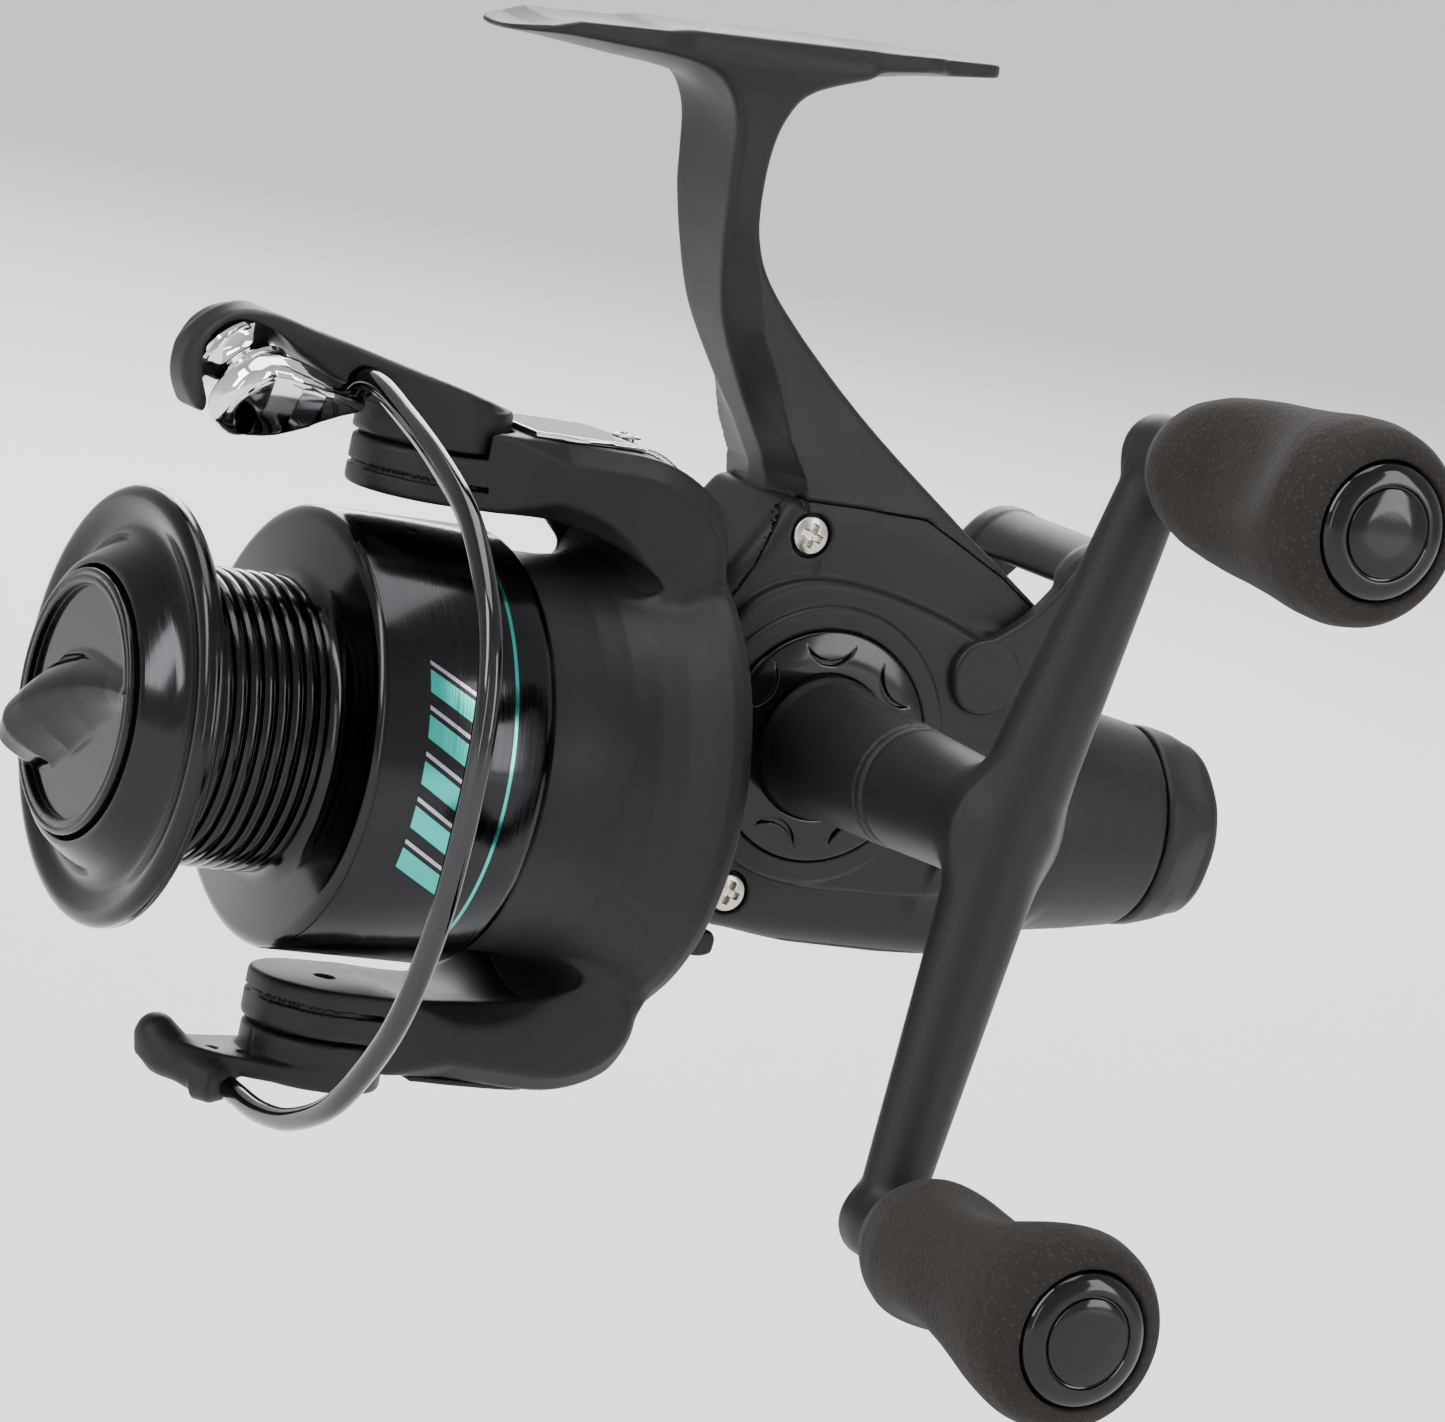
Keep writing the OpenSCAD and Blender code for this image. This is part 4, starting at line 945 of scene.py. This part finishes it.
def strip_field(sign):
    """Cover strip that follows the outside of an arm and narrows to its rear end."""
    def field(p):
        x, y, z = p.T
        top = z * sign
        bend = np.hypot(np.maximum(x + 30, 0), top - (ARM_Z - 14))
        shell = np.maximum(bend - 14.78, 14.03 - bend)
        half = np.interp(x, [-43, -36, -28, -21, -18], [7.6, 8.0, 7.6, 5.2, 2.6])
        shape = both(shell, np.maximum(np.abs(y) - half, np.maximum(-43.0 - x, x + 18.3)), 0.25)
        shape = np.maximum(shape, 30.5 - top)
        return cut(shape, np.hypot(x - STRIP_SCREW_X, y) - 1.12, 0.1)
    return field


class REEL_OT_rotor(bpy.types.Operator):
    """Rotor frame, both arm covers and their screws"""
    bl_idname = "reel.rotor"
    bl_label = "Rotor"

    def execute(self, context):
        model("rotor", rotor_field, "rotor_frame", "rotor", "coat", "body_coat", cell=0.4)
        model("upper_arm_strip", strip_field(1), "arm_cover", "rotor", "chrome", "bright_chrome", cell=0.3)
        model("lower_arm_strip", strip_field(-1), "lower_arm_cover", "rotor", "coat", "body_coat", cell=0.3)
        screws = screws_field(paired(STRIP_SCREW_X, ARM_Z + 0.72), (1.9, 0.65, 0.45), (-2.72, 0.18, 1.05))
        model("strip_screws", screws, "arm_screws", "rotor", "nickel", "nickel_screw", 0.5, 0.14)
        return {"FINISHED"}


# ---------------------------------------------------------------------------
# Bail

# radius of the bail's two pivot holes
PIVOT_HOLE = 1.56
ARM_CREST = [(-41.8, 40.6), (-44.4, 41.3), (-47.4, 42.2), (-50.6, 43.0), (-55.2, 44.1), (-60.1, 45.1),
             (-66.2, 46.5), (-71.3, 47.5), (-75.5, 48.5), (-79, 48.7), (-82.4, 47.6), (-84.9, 45.2),
             (-86.1, 42.0), (-85.7, 38.9), (-84.0, 36.2)]
ARM_BELLY = [(-82.6, 35.6), (-82.6, 38.0), (-83.0, 41.0), (-82.0, 44.2), (-79.4, 46.0), (-76.0, 45.6),
             (-72.0, 43.8), (-67.5, 41.4), (-64.6, 39.4), (-62.2, 36.45), (-53, 36.4), (-45.6, 36.4),
             (-44.6, 38.6), (-43.6, 40.35)]
BAIL_ARM = Outline(np.vstack([curve(ARM_CREST, 4), curve(ARM_BELLY[:9], 4), ARM_BELLY[9:]]), 0.3)


def bail_arm_field(p):
    """Bail arm: round hub with a pointed rear end, running into a hook round the line roller."""
    x, y, z = p.T
    middle = np.interp(x, [-86, -78, -66, -53], [3.0, 2.6, 1.4, 0])
    half = np.interp(x, [-87, -84, -78, -70, -66, -61.5, -57, -53, -49.5, -47, -44.8, -41.7],
                     [2.4, 3.6, 4.4, 4.7, 5.4, 7.4, 8.6, 8.9, 7.9, 6.2, 4.2, 0.3])
    arm = both(BAIL_ARM(x, z), np.abs(y - middle) - half, 1.6)
    hub = both(np.hypot(x - PIVOT_X, y) - 8.9, np.abs(z - 38.9) - 2.5, 0.35)
    arm = near(arm, hub, 0.6)
    # backing plate behind the roller
    plate = drum(p, ROLLER - 6.2 * ROLLER_DIR, ROLLER - 3.15 * ROLLER_DIR, 4.9, 5.6, 0.8)
    arm = near(arm, plate, 1.2)
    room = drum(p, ROLLER - 3.1 * ROLLER_DIR, ROLLER + 14 * ROLLER_DIR, 5.5, 6.4, 0.4)
    arm = cut(arm, room, 0.5)
    arm = cut(arm, cone_shape(p) - 0.35, 0.3)
    for a, b in zip(WIRE[:14], WIRE[1:15]):
        arm = cut(arm, rod(p, a, b, 1.65), 0.2)
    # the underside clears the rotor's arm as the bail opens
    arm = cut(arm, np.maximum(np.abs(np.hypot(x - PIVOT_X, y) - 11.8) - 2.35, z - 40.35), 0.25)
    lens = np.maximum(np.hypot(x - PIVOT_X + 2.2, y + 9.5) - 11.9, np.hypot(x - PIVOT_X + 2.2, y - 8.5) - 11.2)
    floor = 42.2 - z
    arm = cut(arm, np.maximum(lens, floor), 0.4)
    arm = cut(arm, np.maximum(np.hypot(x - PIVOT_X, y) - 3.35, 41.4 - z), 0.2)
    return cut(arm, np.hypot(x - PIVOT_X, y) - PIVOT_HOLE, 0.1)


CONE_ROUND, CONE_TIP = np.array([-79.1, -4.3, 39.1]), np.array([-64.9, -2.9, 39.7])


def cone_shape(p):
    """Teardrop cone: a thick plate across the roller's axis, drawn out to a point at the wire."""
    reach = CONE_TIP - CONE_ROUND
    rise = reach @ ROLLER_DIR
    ahead = reach - rise * ROLLER_DIR
    length = np.linalg.norm(ahead)
    ahead = ahead / length
    up = np.cross(ahead, ROLLER_DIR)
    q = p - CONE_ROUND
    depth, along, across = q @ ROLLER_DIR, q @ ahead, q @ up
    t = np.clip(along / length, 0, 1)
    middle = np.interp(t, [0, 0.3, 0.6, 0.85, 1], [0, 0.35, 0.6, 0.3, 0]) * (1 if up[2] > 0 else -1)
    radius = np.interp(t, [0, 0.15, 0.35, 0.6, 0.8, 1], [5.5, 5.3, 4.4, 2.9, 1.85, 1.1])
    off = np.hypot(along - t * length, across - middle)
    thick = np.interp(t, [0, 0.25, 0.5, 1], [2.5, 3.0, 2.8, 1.2]) - 0.024 * off ** 2
    return both((off - radius) * 0.93, np.abs(depth - rise * t) - thick, 1.5)


def cone_field(p):
    """Cone with the pin that the line roller turns on."""
    pin = rod(p, ROLLER - 5.6 * ROLLER_DIR, ROLLER + 3.4 * ROLLER_DIR, 1.2)
    cone = np.minimum(cone_shape(p), pin)
    head = CONE_ROUND + 0.2 * (CONE_TIP - CONE_ROUND) + 1.9 * ROLLER_DIR
    return near(cone, ball(p, head, 0.8), 0.1)


WIRE_BENDS = [(2.4, 41.4), (5.4, 42.9), (10.3, 42.9), (18, 41.4), (30, 38.6), (42, 34.8), (49.5, 30.6),
              (56.4, 24.2), (60.2, 17.2), (61.3, 8), (60.4, -3.7), (58.4, -12), (54, -21.4), (48, -28.8),
              (38.7, -36.5),
              (27.3, -41.3), (17.3, -43.2), (8, -43.4), (1.5, -43.2)]
WIRE_START, WIRE_LEAN = np.array([-64.8, 0]), math.radians(5.2)
WIRE = np.array([(WIRE_START[0] - s * math.sin(WIRE_LEAN), -s * math.cos(WIRE_LEAN), z)
                 for s, z in curve(WIRE_BENDS, 9)])


# the line roller's outline, (along, radius) from its middle
GROOVES = [(-2.8, 1.55), (-2.8, 4.9), (-2.6, 5.2), (-2.25, 5.3), (-1.9, 5.15), (-1.6, 4.6), (-1.1, 4.2),
           (-0.3, 3.9), (0.5, 3.95), (1.1, 4.3), (1.5, 4.75), (1.8, 4.9), (2.2, 4.75), (2.4, 4.4), (2.4, 1.55)]
BAIL_LEVER = Outline(curve([
    (-47, -6), (-45, 0), (-47, 6), (-53, 8.6), (-60, 7.6), (-67, 5.9), (-72.4, 5.2), (-74.4, 2.9), (-72, -0.4),
    (-67, -3.2), (-61, -6.6), (-53, -8.6)], 5, closed=True), 0.2)


def bail_lever_field(p):
    """Lower bail lever: hub, flat arm and the block that holds the wire's end."""
    x, y, z = p.T
    hub = both(np.hypot(x - PIVOT_X, y) - 8.9, np.abs(z + 39.2) - 2.85, 0.7)
    arm = both(BAIL_LEVER(x, y), np.abs(z + 40.8) - 1.15, 0.6)
    block = near(rod(p, (-72.3, 2.7, -39.2), (-71.2, 1.4, -41.0), 2.5, 2.7),
                 rod(p, (-71.2, 1.4, -41.0), (-66.4, -3.2, -43.1), 2.6, 2.45), 1.5)
    block = near(block, drum(p, (-67.8, -1.6, -43.1), (-66.2, -3.6, -43.2), 2.75, 2.6, 0.5), 0.5)
    field = near(near(hub, arm, 0.8), block, 1.2)
    for at in ((-62.5, -1.5), (-66.2, -0.4)):
        field = cut(field, np.maximum(np.hypot(x - at[0], y - at[1]) - 0.8, -41.7 - z), 0.1)
    field = cut(field, np.maximum(np.hypot(x - PIVOT_X, y) - 3.4, z + 41.4), 0.3)
    return cut(field, np.hypot(x - PIVOT_X, y) - PIVOT_HOLE, 0.1)


class REEL_OT_bail(bpy.types.Operator):
    """Bail arm, lower lever, wire, cone, line roller and pivot screws"""
    bl_idname = "reel.bail"
    bl_label = "Bail"

    def execute(self, context):
        model("upper_bail_arm", bail_arm_field, "bail_arm", "bail", "coat", "body_coat", 2.5, 0.28)
        model("lower_bail_lever", bail_lever_field, "bail_lever", "bail", "coat", "body_coat", 1.5, 0.3)
        model("bail_cone", cone_field, "wire_cone", "bail", "chrome", "bright_chrome", 2.0, 0.25)
        wire = tube("bow_wire", WIRE, context.scene.reel_shape.wire * 500, FINISHES["wire"])
        place(wire, "bail", "black_nickel", "bail_wire")
        roller = turned("roller", GROOVES, FINISHES["chrome"], ROLLER, ROLLER_DIR)
        place(roller, "roller", "bright_chrome", "line_roller")
        screws = screws_field(paired(PIVOT_X, 42.3), (3.1, 1.1, 0.7), (-11.8, 0.2, 1.26))
        model("pivot_screws", screws, "bail_screws", "rotor", "nickel", "nickel_screw", 0.5, 0.2)
        return {"FINISHED"}


# ---------------------------------------------------------------------------
# Spool and front drag

LIP_R, ARBOR_R, DRAG_R = 26.2, 17.3, 15.8


def spool_profile(ribs):
    """Outline of the spool, (along, radius), from the knob's seat over the lip, arbor and skirt."""
    lip = ([(-86.0, DRAG_R + 0.35), (-91.2, DRAG_R + 0.35), (-91.5, DRAG_R + 0.6), (-91.5, DRAG_R + 1.0),
            (-91.2, DRAG_R + 1.5), (-88.4, 19.4), (-87.5, 20.2), (-87.1, 20.9), (-87.0, 21.6), (-87.3, 22.6),
            (-87.7, 23.6), (-87.9, 24.5)]
           + [tuple(q) for q in arc((-86.5, 24.8), 1.4, 178, 60, 8)]
           + [(-85.4, 26.1), (-84.9, 25.4), (-84.75, 24.4), (-84.3, 18.4), (-84.1, ARBOR_R + 0.3)])
    start, end = -83.7, -67.4
    pitch = (end - start) / ribs
    rib = []
    for i in range(ribs):
        a = start + i * pitch
        rib += [(a + share * pitch, ARBOR_R + rise) for share, rise in (
            (0, -0.15), (0.12, -0.15), (0.24, 0.38), (0.42, 0.55), (0.76, 0.55), (0.92, 0.38))]
    skirt = [(end, ARBOR_R), (-66.5, ARBOR_R + 0.3), (-66.0, ARBOR_R + 1.0), (-65.75, ARBOR_R + 2.0),
             (-65.7, 24.9), (-65.5, 25.7), (-65.0, 26.3), (-64.4, SKIRT_R), (-43.6, SKIRT_R),
             (-42.9, SKIRT_R - 0.25),
             (-42.0, SKIRT_R - 0.9), (-41.8, SKIRT_R - 1.1), (-41.8, 25.2), (-63.4, 25.2), (-63.4, 9),
             (-62.2, 7.4), (-62.2, 4.6), (-76, 4.6), (-76, 13.4), (-86, 13.4)]
    return lip + rib + skirt


def drag_knob_field(p):
    """Front drag knob: bevelled rim, sunk face and a leaf-shaped ridge that rises to a nose."""
    x, y, z = p.T
    r = np.hypot(y, z)
    disc = both(r - DRAG_R, np.abs(x + 89.4) - 3.1, 0.5)
    disc = cut(disc, np.maximum(r - 13.9, x + 91.5), 0.35)
    disc = cut(disc, np.abs(np.hypot(r - 14.9, x + 92.55)) - 0.22, 0.12)
    turn = math.radians(-30)
    along = y * math.cos(turn) + z * math.sin(turn)
    across = -y * math.sin(turn) + z * math.cos(turn)
    bow = across + 0.018 * (along - 2) ** 2 - 0.8
    height = np.interp(along, [-14.4, -10, -5, 0, 5, 8.5, 11.5, 14], [0.9, 1.5, 2.7, 4.1, 5.4, 6.0, 5.3, 1.4])
    width = np.interp(along, [-14.4, -9, -3, 3, 8, 12, 14.4], [1.9, 3.2, 5.2, 6.4, 6.0, 3.9, 0.8])
    lift = np.clip(-x - 91.5, -1, 9)
    left = np.clip(1 - np.clip(lift, 0, None) / np.maximum(height, 0.1), 0, 1)
    ridge = np.abs(bow) - width * np.sqrt(left) * 0.9
    ridge = both(ridge, np.maximum(-x - 91.5 - height, x + 88), 0.6)
    ridge = np.maximum(ridge, r - 14.6) * 0.8
    field = near(disc, ridge, 0.7)
    field = cut(field, np.maximum(r - 6.6, -90 - x), 0.2)
    return cut(field, np.maximum(r - 2.1, -93.15 - x), 0.1)


class REEL_OT_spool(bpy.types.Operator):
    """Spool with its ribbed arbor and printed line, and the front drag knob"""
    bl_idname = "reel.spool"
    bl_label = "Spool"

    def execute(self, context):
        spool = turned("line_spool", spool_profile(context.scene.reel_shape.ribs), FINISHES["skirt"], sides=192)
        place(spool, "spool", "black_anodised", "spool")
        model("front_drag_knob", drag_knob_field, "drag_knob", "drag_knob", "gloss", "gloss_black", 1.5, 0.3)
        return {"FINISHED"}


# ---------------------------------------------------------------------------
# Levers and rear knob

REAR_END = KNOB_HIGH[0]
REAR_KNOB = Outline([
    (TAIL_END + 0.35, -5), (TAIL_END + 0.35, 12.9), (TAIL_END + 1.0, 13.15), (TAIL_END + 4.5, 12.7),
    (REAR_END - 1.2, 11.5), (REAR_END - 0.3, 10.9), (REAR_END, 9.6), (REAR_END, -5)], 0.25)


def rear_knob_field(p):
    """Rear drag knob with six broad soft flats."""
    x, y, z = p.T
    r = np.hypot(y, z)
    knob = REAR_KNOB(x, r)
    depth = np.clip((x - TAIL_END - 2.2) / 5, 0, 1)
    for k in range(6):
        a = math.radians(k * 60 + 15)
        flat = y * math.cos(a) + z * math.sin(a)
        knob = both(knob, (flat - 12.9 + 1.9 * depth) * 0.95, 0.7)
    return cut(knob, np.maximum(r - 8.8, x - TAIL_END - 5), 0.2)


LEVER_SIDE = Outline(curve([
    (-4.7, 0), (-3.4, 3.4), (0.4, 5.0), (5, 8.4), (9.4, 13.8), (12.6, 17.0), (16.6, 17.6), (18.9, 15.6),
    (18.3, 12.4), (14.4, 8.0), (9.6, 2.6), (5.0, -1.8), (2.4, -4.1), (-2.4, -4.2)], 5, closed=True), 0.2)
LEVER_BAR = Outline(curve([
    (8.9, 13.0), (10.4, 16.0), (13.6, 18.0), (17.2, 17.8), (18.9, 15.8), (18.3, 13.4), (15.6, 14.0),
    (13.0, 13.9), (11.2, 12.2)], 5, closed=True), 0.2)
TAB = Outline([
    (-16.5, 2), (-14.6, 2), (-14.6, -6.6), (-4.2, -6.9), (-2.6, -6.4), (-1.7, -7.4), (-1.9, -9.4), (-3.4, -9.9),
    (-13, -9.6), (-16.0, -8.6), (-16.5, -7.4)], 0.3)


def free_spool_field(p):
    """Free-spool lever: two side arms on the pivot and a crossbar arched over the tail."""
    x, y, z = p.T
    u, w = x - LEVER[0], z - LEVER[2]
    sides = both(LEVER_SIDE(u, w), np.abs(np.abs(y) - 12.6) - 1.3, 0.7)
    cross = both(LEVER_BAR(u, w), np.abs(y) - 13.9, 1.6)
    field = near(sides, cross, 1.8)
    field = near(field, both(np.hypot(u, w) - 4.7, np.abs(np.abs(y) - 12.75) - 1.45, 0.6), 0.4)
    return cut(field, np.maximum(np.hypot(u, w) - 2.06, np.abs(y) - 13.45), 0.1)


def anti_reverse_field(p):
    """Anti-reverse lever: a spindle and a flat tab with a raised end."""
    x, y, z = p.T
    w = z - SPINDLE_Z
    plate = both(TAB(x, w), np.abs(y) - 1.8, 0.5)
    return near(plate, both(np.hypot(y, w) - 1.5, np.abs(x + 12.5) - 4, 0.3), 0.4)


class REEL_OT_levers(bpy.types.Operator):
    """Free-spool lever, anti-reverse lever and rear drag knob"""
    bl_idname = "reel.levers"
    bl_label = "Levers and rear knob"

    def execute(self, context):
        for name, field, node, cell in (("free_spool_bar", free_spool_field, "free_spool_lever", 0.35),
                                        ("anti_reverse_tab", anti_reverse_field, "anti_reverse_lever", 0.25),
                                        ("rear_drag_knob", rear_knob_field, "rear_knob", 0.38)):
            model(name, field, node, node, "coat", "body_coat", cell=cell)
        return {"FINISHED"}


# ---------------------------------------------------------------------------
# Works inside, kept as the frame has them

WORKS = {
    "steel": ("near_bearing", "far_bearing", "pinion_bearing", "lever_pin", "guide_rod", "handle_shaft",
              "knob_posts", "main_shaft"),
    "nickel": ("rotor_nut", "rear_screw"),
    "spring": ("rear_spring", "bail_spring", "drag_spring"),
    "brass": ("pinion", "bait_drum", "drag_nut", "spool_bush", "one_way_clutch"),
    "zinc": ("drive_gear", "oscillation_gear"),
    "acetal": ("crosswind_block", "click_gear", "upper_core", "lower_core"),
    "fibre": ("drag_washers", "bait_washers"),
    "coat": ("far_cap",),
}


class REEL_OT_works(bpy.types.Operator):
    """Finishes of the shafts, bearings, gears, springs and washers"""
    bl_idname = "reel.works"
    bl_label = "Works"

    def execute(self, context):
        for look, names in WORKS.items():
            for name in names:
                mesh = frame["nodes"][name].data
                mesh.materials.clear()
                mesh.materials.append(FINISHES[look])
        return {"FINISHED"}


# ---------------------------------------------------------------------------
# Stage

VIEW_AZIMUTH, VIEW_ELEVATION, VIEW_ROLL = math.radians(-29.582), math.radians(7.762), math.radians(11.479)
VIEW_FROM = np.array([-419.34, -722.16, 123.37])
LENS, SHIFT = 170.2, (0.0130, -0.0127)
# the floor curls up at its edge: (radius, height)
FLOOR_DROP = 60
FLOOR = [(0.1, 0), (900, 0), (1400, 30), (1900, 170), (2300, 480), (2600, 1000), (2800, 2000), (2850, 3600)]
WORLD_LIGHT = 0.62
# place, aim, width and height in metres, power
LAMPS = {
    "key": ((-1050, -350, 800), (-20, 0, 0), 0.35, 1.1, 13),
    "front": ((-900, -1000, 150), (-20, 0, 0), 0.12, 0.9, 2.4),
    "side": ((700, -1100, 450), (0, 0, 0), 0.3, 1.0, 7),
    "top": ((100, 150, 1200), (0, 0, 0), 0.7, 1.4, 16),
    "rim": ((500, 1100, 600), (0, 0, 0), 0.7, 0.7, 11),
}


def stage_material(name, colour, rough):
    """Plain material of the floor."""
    m = bpy.data.materials.new(name)
    m.use_nodes = True
    shader = m.node_tree.nodes["Principled BSDF"]
    shader.inputs["Base Color"].default_value = list(colour) + [1]
    shader.inputs["Roughness"].default_value = rough
    return m


def lamp(name, at, to, width, height, power):
    """Soft rectangular lamp at a point in reel millimetres, aimed at another."""
    data = bpy.data.lights.new(name, "AREA")
    data.shape = "RECTANGLE"
    data.size, data.size_y, data.energy = width, height, power
    ob = bpy.data.objects.new(name, data)
    at, to = (np.asarray(at, float) + HUB) / 1000, (np.asarray(to, float) + HUB) / 1000
    ob.location = at
    ob.rotation_mode = "QUATERNION"
    ob.rotation_quaternion = Vector(to - at).to_track_quat("-Z", "Y")
    ob.visible_camera = False
    bpy.context.scene.collection.objects.link(ob)
    return ob


class REEL_OT_stage(bpy.types.Operator):
    """Pale floor, soft light and the camera"""
    bl_idname = "reel.stage"
    bl_label = "Stage"

    def execute(self, context):
        scene = context.scene
        drop = CAD_BOX[0][2] * 1000 - HUB[2] - FLOOR_DROP
        turn = np.linspace(0, 2 * np.pi, 96, endpoint=False)
        rings = [np.stack([r * np.cos(turn), r * np.sin(turn), np.full(96, drop + h)], 1)
                 for r, h in curve(FLOOR, 6)]
        points, faces = rings_mesh(rings)
        pale = stage_material("pale_floor", (0.92, 0.92, 0.92), 0.9)
        floor = add_mesh("floor", points, faces[:, ::-1].copy(), pale)
        world = bpy.data.worlds.new("studio")
        world.use_nodes = True
        world.node_tree.nodes["Background"].inputs["Color"].default_value = (1, 1, 1, 1)
        world.node_tree.nodes["Background"].inputs["Strength"].default_value = WORLD_LIGHT
        scene.world = world
        for name, settings in LAMPS.items():
            lamp(name, *settings)
        back = np.array([math.sin(VIEW_AZIMUTH) * math.cos(VIEW_ELEVATION),
                         -math.cos(VIEW_AZIMUTH) * math.cos(VIEW_ELEVATION), math.sin(VIEW_ELEVATION)])
        right = np.array([math.cos(VIEW_AZIMUTH), math.sin(VIEW_AZIMUTH), 0])
        up = np.cross(back, right)
        across = right * math.cos(VIEW_ROLL) + up * math.sin(VIEW_ROLL)
        upward = up * math.cos(VIEW_ROLL) - right * math.sin(VIEW_ROLL)
        data = bpy.data.cameras.new("camera")
        data.sensor_width, data.lens = 36, LENS
        data.shift_x, data.shift_y = SHIFT
        data.clip_start, data.clip_end = 0.05, 20
        camera = bpy.data.objects.new("camera", data)
        turn = Matrix([(across[i], upward[i], back[i]) for i in range(3)])
        camera.matrix_world = Matrix.Translation(Vector((VIEW_FROM + HUB) / 1000)) @ turn.to_4x4()
        scene.collection.objects.link(camera)
        scene.camera = camera
        return {"FINISHED"}


# ---------------------------------------------------------------------------
# Add-on

STEPS = ("stage", "works", "housing", "handle", "rotor", "bail", "spool", "levers")


class REEL_PT_panel(bpy.types.Panel):
    """Steps that build the reel, in their order"""
    bl_idname = "REEL_PT_panel"
    bl_label = "Spinning reel"
    bl_space_type = "VIEW_3D"
    bl_region_type = "UI"
    bl_category = "Reel"

    def draw(self, context):
        layout = self.layout
        for group in (context.scene.reel_shape, context.scene.reel_colours):
            for key in group.__annotations__:
                layout.prop(group, key)
        for step in STEPS:
            layout.operator("reel." + step)


CLASSES = (ReelShape, ReelColours, REEL_OT_stage, REEL_OT_works, REEL_OT_housing, REEL_OT_handle, REEL_OT_rotor,
           REEL_OT_bail, REEL_OT_spool, REEL_OT_levers, REEL_PT_panel)


def register():
    for cls in CLASSES:
        bpy.utils.register_class(cls)
    bpy.types.Scene.reel_shape = bpy.props.PointerProperty(type=ReelShape)
    bpy.types.Scene.reel_colours = bpy.props.PointerProperty(type=ReelColours)


def unregister():
    del bpy.types.Scene.reel_shape
    del bpy.types.Scene.reel_colours
    for cls in reversed(CLASSES):
        bpy.utils.unregister_class(cls)


def main():
    register()
    make_finishes(bpy.context.scene.reel_colours)
    for step in STEPS:
        getattr(bpy.ops.reel, step)()


if __name__ == "__main__":
    main()
